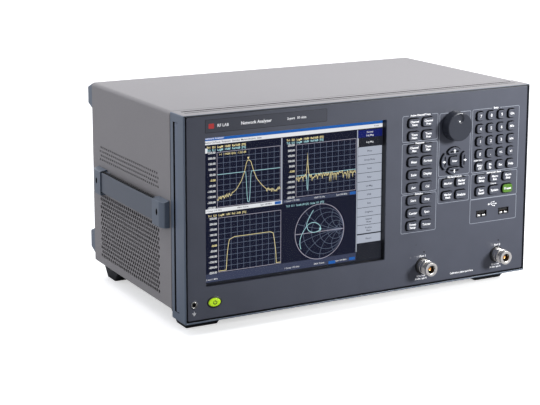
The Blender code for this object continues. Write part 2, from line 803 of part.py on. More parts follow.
def build():
    for obj in list(bpy.data.objects):
        bpy.data.objects.remove(obj, do_unlink=True)

    frame_paint = make_material("frame_paint", (0.13, 0.17, 0.23), 0.45)
    trim_plastic = make_material("trim_plastic", (0.10, 0.13, 0.18), 0.5)
    cover_paint = make_material("cover_paint", (0.36, 0.35, 0.36), 0.55)
    zinc = make_material("zinc_plate", (0.55, 0.55, 0.52), 0.4, 0.9)
    panel_paint = make_material("panel_paint", (0.06, 0.065, 0.08), 0.5)
    glass = make_material("window_glass", (0.5, 0.55, 0.6), 0.05, 0.0, 0.35)
    dark_plastic = make_material("dark_plastic", (0.02, 0.02, 0.025), 0.5)
    key_rubber = make_material("key_rubber", (0.05, 0.055, 0.07), 0.6)
    green_rubber = make_material("green_rubber", (0.20, 0.42, 0.06), 0.5)
    knob_plastic = make_material("knob_plastic", (0.03, 0.035, 0.045), 0.45)
    lime = make_material("lime_plastic", (0.55, 0.80, 0.10), 0.35)
    board_green = make_material("board_green", (0.02, 0.12, 0.05), 0.5)
    nickel = make_material("nickel", (0.66, 0.64, 0.60), 0.25, 1.0)
    brass = make_material("brass_socket", (0.60, 0.50, 0.30), 0.3, 1.0)
    steel = make_material("socket_steel", (0.55, 0.55, 0.56), 0.3, 1.0)
    handle_plastic = make_material("handle_plastic", (0.12, 0.15, 0.20), 0.5)
    strap_rubber = make_material("strap_rubber", (0.13, 0.15, 0.18), 0.65)
    foot_rubber = make_material("foot_rubber", (0.015, 0.015, 0.018), 0.75)
    aluminium = make_material("module_aluminium", (0.60, 0.61, 0.62), 0.35, 1.0)

    make_front_frame(frame_paint)
    make_side_trim("side_trim_left", trim_plastic, 0.2, TRIM_DEEP)
    make_side_trim("side_trim_right", trim_plastic, WIDTH - 0.2, WIDTH - TRIM_DEEP)
    make_cover(cover_paint)
    make_bottom_cover(zinc)
    make_rear_panel(zinc)

    make_front_panel(panel_paint)
    make_display(glass, dark_plastic)
    for name, centres, wide, z in key_rows():
        material = green_rubber if name == "preset_key" else key_rubber
        make_key_row(name, centres, wide, z, material)
    for name, outline_at in single_keys():
        make_single_key(name, outline_at, key_rubber)
    make_knob(knob_plastic)
    make_key_board(board_green)
    make_standby_button(lime)
    for index, x in enumerate(USB_X):
        make_usb_socket("usb_socket_%d" % (index + 1), x, steel)
    for index, x in enumerate(PORT_X):
        make_port("test_port_%d" % (index + 1), x, nickel)
    make_ground_socket(brass)

    for side in ("left", "right"):
        foot_x = FOOT_X if side == "left" else mirrored(FOOT_X)
        make_foot("foot_front_" + side, foot_rubber, foot_x, FOOT_FRONT_D,
                  FOOT_FRONT_STANDS_D)
        make_foot("foot_rear_" + side, foot_rubber, foot_x, FOOT_REAR_D,
                  FOOT_REAR_STANDS_D)
        bumper_x = (GAP, BUMPER_WIDE) if side == "left" else mirrored((GAP, BUMPER_WIDE))
        make_bumper("bumper_top_" + side, frame_paint, bumper_x, BUMPER_TOP_Z)
        make_bumper("bumper_low_" + side, frame_paint, bumper_x, BUMPER_LOW_Z)
        make_handle_cap("handle_cap_front_" + side, side, CAP_FRONT_D, "front", handle_plastic)
        make_handle_cap("handle_cap_rear_" + side, side, CAP_REAR_D, "rear", handle_plastic)
        make_handle_grip("handle_grip_" + side, side, strap_rubber)

    make_fan(dark_plastic, dark_plastic)
    make_power_inlet(dark_plastic)
    make_inner_box("receiver_module", (248.0, 412.0), (24.0, 180.0), (10.0, 50.0), aluminium)
    make_inner_box("power_supply", (14.0, 110.0), (60.0, 215.0), (10.0, 70.0), zinc)


build()
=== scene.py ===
"""Visual model of a bench-top vector network analyzer, around its CAD part.

Lengths are in millimetres. A place on the instrument is x from the left side
seen from the front, d back from the front frame's face, and z up from the
underside of the front frame. World +X is the same x, +Y points to the rear and
+Z is up, with the origin on the bench under the middle of the object.
"""
import math
import random

import bmesh
import bpy
from mathutils import Matrix, Vector
from mathutils.geometry import delaunay_2d_cdt


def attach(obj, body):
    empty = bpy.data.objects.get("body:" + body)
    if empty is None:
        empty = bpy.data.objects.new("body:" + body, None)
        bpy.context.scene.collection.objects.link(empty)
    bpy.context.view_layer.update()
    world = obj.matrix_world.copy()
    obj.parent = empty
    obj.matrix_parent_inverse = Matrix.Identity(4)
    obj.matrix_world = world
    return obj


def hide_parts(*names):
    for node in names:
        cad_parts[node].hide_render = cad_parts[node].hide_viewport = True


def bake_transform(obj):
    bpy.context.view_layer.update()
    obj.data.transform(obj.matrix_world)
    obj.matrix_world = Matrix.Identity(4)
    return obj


MM = 0.001
TINY = 1e-6
WIDTH = 425
HEIGHT = 214
FOOT = 12.5
ORIGIN_D = 117.8

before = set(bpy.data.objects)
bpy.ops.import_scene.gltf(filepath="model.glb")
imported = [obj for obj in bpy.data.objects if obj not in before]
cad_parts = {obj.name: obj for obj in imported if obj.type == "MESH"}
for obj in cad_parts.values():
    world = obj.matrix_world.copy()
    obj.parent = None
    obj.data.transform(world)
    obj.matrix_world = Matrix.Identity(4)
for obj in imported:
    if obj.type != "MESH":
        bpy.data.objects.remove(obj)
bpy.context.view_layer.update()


def place(x, d, z):
    return Vector(((x - WIDTH / 2) * MM, (d - ORIGIN_D) * MM, (z + FOOT) * MM))


def clamp(share):
    return min(1, max(0, share))


def link(obj):
    bpy.context.scene.collection.objects.link(obj)
    return obj


# ---- materials

def feed(tree, node, values):
    """Sets a node's inputs, each to a plain value or to the output that drives it."""
    for name, value in values.items():
        if isinstance(value, bpy.types.NodeSocket):
            tree.links.new(value, node.inputs[name])
        else:
            node.inputs[name].default_value = value


def add_node(tree, kind, values, output=0, **settings):
    """Adds a shader node, feeds its inputs and gives one of its outputs."""
    node = tree.nodes.new("ShaderNode" + kind)
    for name, value in settings.items():
        setattr(node, name, value)
    feed(tree, node, values)
    return node.outputs[output]


def noise(tree, where, scale, detail=3):
    return add_node(tree, "TexNoise", {"Scale": scale, "Detail": detail, "Vector": where}, "Fac")


def stretch(tree, value, low, high, to_low=0, to_high=1):
    return add_node(tree, "MapRange", {"From Min": low, "From Max": high, "To Min": to_low,
                                       "To Max": to_high, "Value": value}, "Result")


def mix_colour(tree, factor, first, second):
    return add_node(tree, "Mix", {"A": (*first, 1), "B": (*second, 1), "Factor": factor}, "Result",
                    data_type='RGBA')


def new_material(name):
    """A material with its node tree, its Principled shader and its object coordinates."""
    material = bpy.data.materials.new(name)
    material.use_nodes = True
    tree = material.node_tree
    where = add_node(tree, "TexCoord", {}, "Object")
    return material, tree, tree.nodes["Principled BSDF"], where


def surface(name, colour, rough=0.5, metal=0, vary=0.08, grain=1500, bump=0, rough_vary=0, brushed=None,
            glow=0, coat=0, cloud=0.4):
    """A Principled material whose colour, and where asked roughness and relief, vary."""
    material, tree, shader, where = new_material(name)
    if brushed:
        where = add_node(tree, "Mapping", {"Scale": brushed, "Vector": where}, "Vector")
    fine = noise(tree, where, grain, 2)
    wide = noise(tree, where, grain / 60)
    clouds = stretch(tree, wide, 0.3, 0.7, 0, cloud)
    both = add_node(tree, "Math", {0: fine, 1: 1 - cloud, 2: clouds}, operation='MULTIPLY_ADD')
    darker = [c * (1 - vary) for c in colour]
    lighter = [min(1, c * (1 + vary)) for c in colour]
    tone = mix_colour(tree, stretch(tree, both, 0.2, 0.8), darker, lighter)
    feed(tree, shader, {"Base Color": tone, "Roughness": rough, "Metallic": metal, "Coat Weight": coat,
                        "Coat Roughness": 0.3})
    if rough_vary:
        uneven = stretch(tree, wide, 0.3, 0.7, rough - rough_vary, rough + rough_vary)
        feed(tree, shader, {"Roughness": uneven})
    if glow:
        feed(tree, shader, {"Emission Color": tone, "Emission Strength": glow})
    if bump:
        relief = {"Strength": bump, "Distance": 0.2 * MM, "Height": fine}
        feed(tree, shader, {"Normal": add_node(tree, "Bump", relief, "Normal")})
    return material


def screen_light(name, colour):
    """A lit colour of the display, faintly uneven as a backlight is."""
    material, tree, shader, where = new_material("screen_" + name)
    uneven = stretch(tree, noise(tree, where, 9, 2), 0.3, 0.7)
    tone = mix_colour(tree, uneven, [c * 0.92 for c in colour], colour)
    feed(tree, shader, {"Base Color": (0.004, 0.004, 0.005, 1), "Roughness": 0.8,
                        "Specular IOR Level": 0, "Emission Color": tone, "Emission Strength": 1})
    return material


COVER = surface("cover_paint", (0.305, 0.289, 0.29), vary=0.09, grain=1300, bump=0.6, cloud=0.06)
FRAME = surface("frame_paint", (0.112, 0.148, 0.204), 0.36, vary=0.07, grain=1700, bump=0.15, coat=0.6,
                cloud=0.1)
# The frame's front rim, painted near black for the shade that falls on it.
RIM_SHADE = surface("rim_painted_shade", (0.01, 0.014, 0.022), vary=0.2, grain=1200)
TRIM = surface("trim_plastic", (0.112, 0.15, 0.222), 0.3, vary=0.07, grain=900, coat=0.6, cloud=0.1)
PANEL = surface("panel_paint", (0.068, 0.075, 0.102), 0.42, grain=2200, bump=0.2)
PLATE = surface("name_plate", (0.05, 0.055, 0.074), 0.4, vary=0.07, grain=2000)
KEY_TOP = surface("key_rubber", (0.064, 0.071, 0.097), 0.45)
# Key side walls and the bar behind the keys, painted near black for the shade in the gaps round the keys.
KEY_SIDE_SHADE = surface("key_side_painted_shade", (0.004, 0.005, 0.007), 0.6, vary=0.2, grain=900)
GREEN_KEY = surface("green_rubber", (0.076, 0.206, 0.006), 0.45, vary=0.07, grain=1200)
KNOB = surface("knob_plastic", (0.033, 0.037, 0.05), 0.24, vary=0.1, bump=0.08)
BLACK = surface("dark_plastic", (0.012, 0.013, 0.016), 0.45, vary=0.25, grain=800)
# Deepest black: black print, marks and the USB tongue, and painted shade in grooves, recesses, gaps and
# socket mouths.
DEEP_BLACK_AND_SHADE = surface("deep_black_and_painted_shade", (0.003, 0.003, 0.004), 0.7, vary=0.3, grain=500)
LIME = surface("lime_plastic", (0.42, 0.66, 0.012), 0.28, vary=0.06, grain=700, glow=0.45)
# White print; its faint glow is painted light that makes it read brighter than the lamps alone make it.
GLOW_PRINT = surface("white_print_painted_glow", (0.92, 0.93, 0.95), vary=0.04, glow=0.12)
LINE = surface("grey_print", (0.33, 0.36, 0.42), vary=0.05)
NICKEL = surface("nickel", (0.88, 0.85, 0.81), 0.24, 1, vary=0.07, grain=900, rough_vary=0.06)
GOLD = surface("gold", (0.95, 0.5, 0.2), 0.3, 1, grain=900)
STEEL = surface("socket_steel", (0.62, 0.62, 0.62), 0.28, 1, grain=700)
DARK_STEEL = surface("dark_steel", (0.022, 0.022, 0.025), 0.35, 1, vary=0.15, grain=700)
SPRING = surface("spring_steel", (0.86, 0.86, 0.86), 0.38, 1, vary=0.06, grain=700)
BRASS = surface("brass_socket", (0.42, 0.41, 0.39), 0.22, 1, vary=0.1, grain=700)
ZINC = surface("zinc_plate", (0.5, 0.5, 0.49), 0.38, 0.9, vary=0.14, grain=260, rough_vary=0.1,
               brushed=(1, 6, 6))
ALUMINIUM = surface("module_aluminium", (0.6, 0.61, 0.62), 0.35, 1, vary=0.1, grain=300,
                    brushed=(1, 8, 8))
HANDLE = surface("handle_plastic", (0.11, 0.142, 0.19), 0.38, bump=0.1, coat=0.6, cloud=0.1)
STRAP = surface("strap_rubber", (0.098, 0.116, 0.149), grain=1300, bump=0.25, coat=0.5, cloud=0.1)
RUBBER = surface("foot_rubber", (0.01, 0.011, 0.014), 0.6, vary=0.2, grain=1200, bump=0.3)
BOARD = surface("board_green", (0.02, 0.12, 0.05), 0.45, vary=0.3, grain=150)
GREY_PLASTIC = surface("grey_plastic", (0.3, 0.3, 0.29), grain=900)
BLUE_PLASTIC = surface("blue_plastic", (0.02, 0.06, 0.3), 0.45, vary=0.1, grain=900)


# ---- outlines

def rect(x0, x1, z0, z1):
    return [(x0, z0), (x1, z0), (x1, z1), (x0, z1)]


def rounded_rect(x0, x1, z0, z1, radius, steps=3):
    points = []
    for cx, cz, start in ((x1 - radius, z0 + radius, -90), (x1 - radius, z1 - radius, 0),
                          (x0 + radius, z1 - radius, 90), (x0 + radius, z0 + radius, 180)):
        for step in range(steps + 1):
            angle = math.radians(start + 90 * step / steps)
            points.append((cx + radius * math.cos(angle), cz + radius * math.sin(angle)))
    return points


def rounded_box(x, z, wide, high, radius, steps=3):
    return rounded_rect(x - wide / 2, x + wide / 2, z - high / 2, z + high / 2, radius, steps)


def ellipse(x, z, a, b, count=28):
    turns = [2 * math.pi * i / count for i in range(count)]
    return [(x + a * math.cos(t), z + b * math.sin(t)) for t in turns]


def circle(x, z, radius, count=28):
    return ellipse(x, z, radius, radius, count)


def at_depth(outline, d):
    return [(x, d, z) for x, z in outline]


def neighbours(points):
    """Every point of a closed outline, between the one before and the one after it."""
    after = points[1:] + points[:1]
    return [(Vector(points[i - 1]), Vector(points[i]), Vector(after[i])) for i in range(len(points))]


def mitre(one, two, limit):
    """A corner's shift when the edges along two unit directions move sideways by one."""
    side = Vector((-one.y, one.x))
    normal = side + Vector((-two.y, two.x))
    if normal.length < TINY:
        return side
    normal.normalize()
    return normal / max(limit, normal.dot(side))


def inset(outline, distance):
    """A convex or gently bent outline, counter-clockwise, moved inwards."""
    moved = []
    for before, here, after in neighbours(outline):
        shift = mitre((here - before).normalized(), (after - here).normalized(), 0.35)
        moved.append(tuple(here + shift * distance))
    return moved


def round_off(outline, radius, steps=3):
    """Rounds the sharp corners of a convex outline."""
    result = []
    for before, here, after in neighbours(outline):
        one = before - here
        two = after - here
        if one.angle(two) > math.radians(150):
            result.append(tuple(here))
            continue
        reach = min(radius, one.length * 0.45, two.length * 0.45)
        start = here + one.normalized() * reach
        stop = here + two.normalized() * reach
        for step in range(steps + 1):
            t = step / steps
            result.append(tuple(start * (1 - t) ** 2 + here * 2 * t * (1 - t) + stop * t ** 2))
    return result


def round_edge(size, steps=3):
    """(inset, depth) pairs that turn a front face into a side wall."""
    turns = [math.pi / 2 * i / steps for i in range(steps + 1)]
    return [(size * (1 - math.sin(t)), size * (1 - math.cos(t))) for t in turns]


def ring_faces(count, base=0):
    """Faces between the ring of points that starts at base and the ring after it."""
    return [(base + (i + 1) % count, base + i, base + count + i, base + count + (i + 1) % count)
            for i in range(count)]


def oriented(face, points):
    """The face's corners in an order that looks towards the front."""
    a, b, c = (points[i] for i in face[:3])
    turn = (b[0] - a[0]) * (c[1] - a[1]) - (b[1] - a[1]) * (c[0] - a[0])
    return tuple(face) if turn > 0 else tuple(reversed(face))


def triangles(loops, creases=()):
    """Triangulates the area inside the first loop and outside the others, all convex."""
    points = []
    edges = list(creases)
    owner = []
    for index, loop in enumerate(loops):
        base = len(points)
        points += [Vector(p) for p in loop]
        owner += [index] * len(loop)
        edges += [(base + i, base + (i + 1) % len(loop)) for i in range(len(loop))]
    out, _, faces, sources, _, _ = delaunay_2d_cdt(points, edges, [], 1, 1e-5)
    belongs = [owner[s[0]] if s else 0 for s in sources]
    kept = []
    for face in faces:
        owners = {belongs[i] for i in face}
        if owners == {0} or len(owners) > 1:
            kept.append(oriented(face, out))
    return [tuple(p) for p in out], kept


# ---- pieces

class Shape:
    """Collects the points and faces of one piece."""

    def __init__(self):
        self.verts = []
        self.faces = []
        self.paint = []

    def add(self, verts, faces, paint=0):
        base = len(self.verts)
        self.verts += verts
        self.faces += [tuple(base + i for i in face) for face in faces]
        self.paint += [paint] * len(faces)

    def loft(self, rings, paint=0, cap_start=True, cap_end=True):
        """Joins rings of (x, d, z) points. The first ring's cap looks towards the front."""
        count = len(rings[0])
        faces = [f for k in range(len(rings) - 1) for f in ring_faces(count, k * count)]
        self.add([p for ring in rings for p in ring], faces, paint)
        if cap_start:
            self.add(list(rings[0]), [tuple(range(count))], paint)
        if cap_end:
            self.add(list(rings[-1]), [tuple(reversed(range(count)))], paint)

    def slab(self, outline, d0, d1, edge=0, paint=0, back_edge=0, steps=3):
        """A front-view outline with depth, its front and back corners rounded by the edges."""
        front = round_edge(edge, steps) if edge else [(0, 0)]
        back = round_edge(back_edge, 2)[::-1] if back_edge else [(0, 0)]
        rings = [at_depth(inset(outline, inward), d0 + deep) for inward, deep in front]
        rings += [at_depth(inset(outline, inward), d1 - deep) for inward, deep in back]
        self.loft(rings, paint)

    def box(self, xs, ds, zs, edge=0, paint=0):
        outline = rounded_rect(*xs, *zs, edge, 2) if edge else rect(*xs, *zs)
        self.slab(outline, *ds, edge, paint, edge, 2)

    def turned(self, profile, x, z, segments=48, paint=0, paints=()):
        """Spins a profile of (radius, depth) points about an axis along the depth."""
        base = len(self.paint)
        rings = [at_depth(circle(x, z, radius, segments), depth) for radius, depth in profile]
        self.loft(rings, paint, False, False)
        for k, finish in enumerate(paints):
            self.paint[base + k * segments:base + (k + 1) * segments] = [finish] * segments

    def flat(self, outline, d, paint=0):
        self.add(at_depth(outline, d), [tuple(range(len(outline)))], paint)

    def stroke(self, points, width, d, paint=0, closed=False):
        """A flat line of even width through front-view points."""
        count = len(points)
        sides = ([], [])
        for i, (before, here, after) in enumerate(neighbours(points)):
            one = here - before
            two = after - here
            if one.length < TINY or not (i or closed):
                one = two
            if two.length < TINY or not (i < count - 1 or closed):
                two = one
            shift = mitre(one.normalized(), two.normalized(), 0.45) * width / 2
            for side, point in zip(sides, (here + shift, here - shift)):
                side.append((point.x, d, point.y))
        faces = ring_faces(count)
        self.add(sides[0] + sides[1], faces if closed else faces[:-1], paint)

    def text(self, words, x, z, size, d, paint=0, max_wide=None, bold=0, align='CENTER', side="front"):
        """Generic lettering as flat faces, with its middle at the height z."""
        curve = bpy.data.curves.new("lettering", 'FONT')
        curve.body = words
        curve.size = size
        curve.offset = bold
        curve.resolution_u = 2
        curve.align_x = align
        curve.align_y = 'CENTER'
        letters = link(bpy.data.objects.new("lettering", curve))
        bpy.context.view_layer.update()
        found = bpy.data.meshes.new_from_object(letters)
        points = [tuple(v.co) for v in found.vertices]
        faces = [tuple(p.vertices) for p in found.polygons]
        bpy.data.objects.remove(letters)
        bpy.data.curves.remove(curve)
        bpy.data.meshes.remove(found)
        across = [p[0] for p in points]
        wide = max(across) - min(across)
        squeeze = min(1, max_wide / wide) if max_wide else 1
        if side == "rear":
            squeeze = -squeeze
        self.add([(x + p[0] * squeeze, d, z + p[1]) for p in points], faces, paint)

    def plate(self, outline, holes, d0, d1, edge, hole_paint):
        """A flat plate with holes, its outer front edge rounded."""
        inner = inset(outline, edge)
        corners, faces = triangles([inner] + holes)
        self.add(at_depth(corners, d0), faces)
        self.add(at_depth(corners, d1), [face[::-1] for face in faces])
        for loop in holes:
            self.loft([at_depth(loop[::-1], d) for d in (d0, d1)], hole_paint, False, False)
        rings = [at_depth(inset(outline, inward), d0 + deep) for inward, deep in round_edge(edge)]
        rings += [at_depth(outline, d1 - 0.01), at_depth(inner, d1)]
        self.loft(rings, 0, False, False)

    def make(self, name, materials, body="chassis", replaces=None, slot=None, smooth=None,
             outward=False):
        """Makes the piece. It rides on its body, and may stand in for a CAD node.

        A cutting tool rides on nothing. The slot argument is not used.
        """
        mesh = bpy.data.meshes.new(name)
        mesh.from_pydata([place(*v) for v in self.verts], [], self.faces)
        for material in materials:
            mesh.materials.append(material)
        mesh.polygons.foreach_set("material_index", self.paint)
        mesh.validate()
        weld(mesh, outward)
        obj = link(bpy.data.objects.new(name, mesh))
        if smooth:
            mesh.shade_smooth()
            mesh.set_sharp_from_angle(angle=math.radians(smooth))
            even = obj.modifiers.new("even", 'WEIGHTED_NORMAL')
            even.keep_sharp = True
            even.weight = 50
        if body is not None:
            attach(obj, body)
        if replaces:
            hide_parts(replaces)
        return obj


def weld(mesh, outward):
    """Joins points at the same place, so that each surface is closed, and may turn faces out."""
    bm = bmesh.new()
    bm.from_mesh(mesh)
    bmesh.ops.remove_doubles(bm, verts=bm.verts, dist=TINY)
    bmesh.ops.dissolve_degenerate(bm, edges=bm.edges, dist=TINY / 10)
    if outward:
        bmesh.ops.recalc_face_normals(bm, faces=bm.faces)
    bm.to_mesh(mesh)
    bm.free()


def show_node(node, material, edge=0):
    """Keeps a CAD node in view with a finish, and softens its corners."""
    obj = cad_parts[node]
    obj.data.materials.clear()
    obj.data.materials.append(material)
    if edge:
        join = obj.modifiers.new("join", 'WELD')
        join.merge_threshold = TINY
        bevel = obj.modifiers.new("soften", 'BEVEL')
        bevel.width = edge * MM
        bevel.segments = 2
        bevel.limit_method = 'ANGLE'
        bevel.angle_limit = math.radians(40)
        bevel.harden_normals = False


def cut(obj, shape, name, tool_name):
    """Cuts a shape out of the object. The cut surfaces are painted black for the shade in the hollow."""
    tool = shape.make(tool_name, [DEEP_BLACK_AND_SHADE], body=None, slot="none", outward=True)
    tool.hide_render = True
    tool.hide_viewport = True
    tool.display_type = 'WIRE'
    cutting = obj.modifiers.new(name, 'BOOLEAN')
    cutting.operation = 'DIFFERENCE'
    cutting.solver = 'EXACT'
    cutting.material_mode = 'TRANSFER'
    cutting.object = tool
    obj.modifiers.move(obj.modifiers.find("even"), len(obj.modifiers) - 1)


# ---- front frame

def build_frame():
    """A cast frame: one profile swept round the case, with grooves in its sides and top."""
    profile = [(6.4, 31, 0), (0.5, 31, 0), (0.15, 30.85, 0), (0, 30.5, 0), (0, 1.2, 0), (0.15, 0.7, 0),
               (0.5, 0.3, 1), (1, 0.08, 1), (1.4, 0, 1), (1.75, 0.15, 1), (1.9, 0.6, 2), (1.9, 4.3, 2),
               (6.4, 4.3, 2)]
    rings = []
    for inward, depth, _ in profile:
        ring = rounded_rect(inward, WIDTH - inward, inward, HEIGHT - inward, max(1.3 - inward, 0.6), 5)
        rings.append(at_depth(ring[::-1], depth))
    count = len(rings[0])
    shape = Shape()
    shape.loft(rings + rings[:1], 0, False, False)
    # The rim's front is painted near black for the shade on it, and its lowest stretch has the frame's
    # paint; the recess behind the rim is painted black for the shade in it. The top has the cover's light
    # paint, which stands partly for a painted reflection of the bright room.
    for k, (_, depth, finish) in enumerate(profile):
        heights = [z for _, _, z in rings[k]]
        for i, z in enumerate(heights):
            if depth > 1 and k < 5 and min(z, heights[(i + 1) % count]) > HEIGHT - 0.45:
                shape.paint[k * count + i] = 3
            else:
                shape.paint[k * count + i] = 0 if finish == 1 and z < 1.95 else finish
    casting = shape.make("front_frame_casting", [FRAME, RIM_SHADE, DEEP_BLACK_AND_SHADE, COVER], replaces="front_frame", smooth=50)
    # Grooves in the sides and top, their cut walls painted black for the shade in them.
    for xs, ds, zs, name, tool_name in (
            ((-2, 2), (13.4, 24.3), (9, 205), "channel", "side_channel_0"),
            ((WIDTH - 2, WIDTH + 2), (13.4, 24.3), (9, 205), "channel", "side_channel_1"),
            ((8, WIDTH - 10), (13.2, 14.9), (HEIGHT - 2, HEIGHT + 2), "top_seam", "top_seam"),
            ((8, WIDTH - 10), (20.6, 23.8), (HEIGHT - 2, HEIGHT + 2), "top_channel", "top_channel")):
        groove = Shape()
        groove.box(xs, ds, zs)
        cut(casting, groove, name, tool_name)
    for side, x0, x1 in (("left", 0.15, 1.9), ("right", WIDTH - 1.9, WIDTH - 0.15)):
        trim = Shape()
        trim.box((x0, x1), (13.6, 20.7), (9.5, 204.4), 0.25)
        trim.make("side_trim_strip_" + side, [TRIM], replaces="side_trim_" + side, smooth=40)


# ---- cover

COVER_FROM = 31.9
COVER_TO = 240
COVER_LOW = 9
SHEET = 1.2
BEND = 4
BEND_STEPS = 8
WALL = HEIGHT - BEND - COVER_LOW
ARC = math.pi / 2 * BEND
COVER_LENGTH = 2 * WALL + 2 * ARC + WIDTH - 2 * BEND
VENTS_FROM = 62.2
VENTS_IN_ROW = 30
VENT_PITCH = 5.38
VENT_RISE = 4.68
# Rows, height of the lowest one, radius and corners of the vent holes
VENT_ROWS = ((4, 130.4, 1.5, 8), (16, 19.2, 2.1, 10))


def wrapped(point, deep):
    """Where a point of the flat sheet comes to lie, a depth inside its bent skin."""
    along = min(point[0], COVER_LENGTH - point[0])
    if along <= WALL:
        x, z = deep, COVER_LOW + along
    elif along <= WALL + ARC:
        turn = math.pi - (along - WALL) / BEND
        x = BEND + (BEND - deep) * math.cos(turn)
        z = HEIGHT - BEND + (BEND - deep) * math.sin(turn)
    else:
        x, z = BEND + along - WALL - ARC, HEIGHT - deep
    return (x if point[0] < COVER_LENGTH / 2 else WIDTH - x, point[1], z)


def build_cover():
    """One bent sheet, drawn flat with its vent holes and then wrapped round the case."""
    bends = [WALL + ARC * i / BEND_STEPS for i in range(BEND_STEPS + 1)]
    stops = bends + [COVER_LENGTH - u for u in reversed(bends)]
    across = [0] + stops + [COVER_LENGTH]
    outline = [(u, COVER_FROM) for u in across] + [(u, COVER_TO) for u in reversed(across)]
    loops = [outline]
    for rows, low, radius, corners in VENT_ROWS:
        for row in range(rows):
            odd = row % 2
            for column in range(VENTS_IN_ROW - odd):
                d = VENTS_FROM + VENT_PITCH * column + VENT_PITCH / 2 * odd
                u = low + VENT_RISE * row - COVER_LOW
                loops += [circle(u, d, radius, corners), circle(COVER_LENGTH - u, d, radius, corners)]
    creases = [(1 + i, len(outline) - 2 - i) for i in range(len(stops))]
    corners, faces = triangles(loops, creases)
    shape = Shape()
    shape.add([wrapped(p, 0) for p in corners], faces)
    shape.add([wrapped(p, SHEET) for p in corners], [face[::-1] for face in faces])
    for loop in loops:
        walls = ring_faces(len(loop))
        if loop is not outline:
            walls = [wall[::-1] for wall in walls]
        shape.add([wrapped(p, deep) for deep in (0, SHEET) for p in loop], walls)
    shape.make("cover_shell", [COVER], replaces="cover", smooth=30)


def build_base():
    """The bottom tray, with pressed ribs, and dark plates that paint the shade seen through the vents."""
    tray = Shape()
    low = 7.6
    gap = 1.5
    deep = (31.3, 238)
    tray.box((gap, WIDTH - gap), deep, (low, low + SHEET))
    # The side walls are painted black inside, for the shade behind the vents.
    for x0, x1 in ((gap, gap + SHEET), (WIDTH - gap - SHEET, WIDTH - gap)):
        tray.box((x0, x1), deep, (low + SHEET, 40), 0, 1)
    for k in range(5):
        d = 70 + 26 * k
        tray.slab(rounded_rect(90, WIDTH - 90, low - 0.9, low + 0.05, 0.25, 1), d, d + 4)
    tray.make("base_tray", [ZINC, DEEP_BLACK_AND_SHADE], replaces="bottom_cover")
    # Dark plates inside the sides: painted shade seen through the vents.
    shade_liner = Shape()
    for x0, x1 in ((8, 9), (WIDTH - 9, WIDTH - 8)):
        shade_liner.box((x0, x1), (50, 228), (10, 205))
    inside = surface("inner_shade", (0.02, 0.022, 0.027), 0.6, vary=0.9, grain=70)
    shade_liner.make("painted_shade_plates", [inside])


# ---- key layout

PANEL_FRONT = 1
ROW_TOP = 183.1
ROW_PITCH = 14.07
KNOB_X = 324.3
KNOB_Z = 175.9
ARROW_Z = 137
KEY_HIGH = 9.6
KEY_FACE = PANEL_FRONT - 2.6
LETTER_D = KEY_FACE - 0.04
OPENING = (24, 237.6, 36.4, 189.8)
STANDBY = (33.4, 19.9)
GROUND = (10.6, 19.8)
PORTS = ((1, 286.5), (2, 386.5))
PORT_Z = 23.7
USB_SOCKETS = ((1, 364), (2, 394.3))
LAMPS = ((288.5, 38.9, 0.9), (388.5, 39.6, 0.9), (277.9, 48, 0.45))


def row_z(row):
    return ROW_TOP - ROW_PITCH * row


def spread(middle, pitch, count):
    return [middle + pitch * (i - (count - 1) / 2) for i in range(count)]


PAIR = spread(280.1, 17.9, 2)
MARKER_PAIR = spread(325.2, 17.9, 2)
FOUR = spread(379.2, 14.1, 4)
THREE = spread(379.2, 18.1, 3)
KEY_GROUPS = (
    ("channel_keys_%d", PAIR, 14.4, 0, ("Channel|Next Channel|Prev", "Trace|Next Trace|Prev")),
    ("response_keys_%d", PAIR, 14.4, 2, ("Channel|Max Trace|Max", "Meas Format", "Scale Display",
                                         "Avg Cal")),
    ("stimulus_keys_%d", PAIR, 14.4, 6, ("Start Stop", "Center Span", "Sweep|Setup Trigger")),
    ("marker_keys_%d", MARKER_PAIR, 14.4, 5, ("Marker Marker|Search", "Marker|Math Analyze")),
    ("entry_keys_%d", FOUR, 9.8, 0, ("7 8 9 G/n", "4 5 6 M/u", "1 2 3 k/m", "0 . +/- x1",
                                     "Entry|Off Bk|Sp Esc Help")),
    ("system_keys_%d", THREE, 13.6, 5, ("Macro|Setup Macro|Run Macro|Stop", "Save|Recall System")),
    ("preset_key", THREE[2:], 13.6, 6, ("Preset",)),
)
# Node, middles, width, row and legends of each row of keys
KEY_ROWS = [(node % (k + 1) if "%" in node else node, xs, wide, row + k, words.split())
            for node, xs, wide, row, rows in KEY_GROUPS for k, words in enumerate(rows)]
TURNS = {"up": 0, "left": 1, "down": 2, "right": 3}


def turned_way(points, direction):
    """Turns points drawn above the arrow keys' centre to the side that a key is on."""
    for _ in range(TURNS[direction]):
        points = [(-v, u) for u, v in points]
    return [(KNOB_X + u, ARROW_Z + v) for u, v in points]


def petal(direction, grow=0):
    """Outline of an arrow key: straight towards the middle, round on the outside."""
    sideways = direction in ("left", "right")
    inner, shoulder, outer = (9.4, 12.4, 17.4) if sideways else (7.2, 10.4, 15.2)
    inner_half = 6.5 + grow
    outer_half = 9.2 + grow
    rise = outer - shoulder
    radius = (outer_half ** 2 + rise ** 2) / (2 * rise)
    sweep = math.asin(outer_half / radius)
    points = [(-inner_half, inner - grow), (inner_half, inner - grow)]
    steps = 12
    for i in range(steps + 1):
        angle = sweep * (1 - 2 * i / steps)
        points.append((radius * math.sin(angle), outer + grow - radius * (1 - math.cos(angle))))
    return turned_way(points, direction)


def add_arrow(shape, direction):
    """The printed arrow on an arrow key."""
    sideways = direction in ("left", "right")
    middle, tip, tail, half = (13.4, 2.6, 1.6, 0.6) if sideways else (11.2, 2.2, 2, 0.75)
    head = [(-1.7, middle), (1.7, middle), (0, middle + tip)]
    for points in (head, rect(-half, half, middle - tail, middle)):
        shape.flat(turned_way(points, direction), LETTER_D, 2)


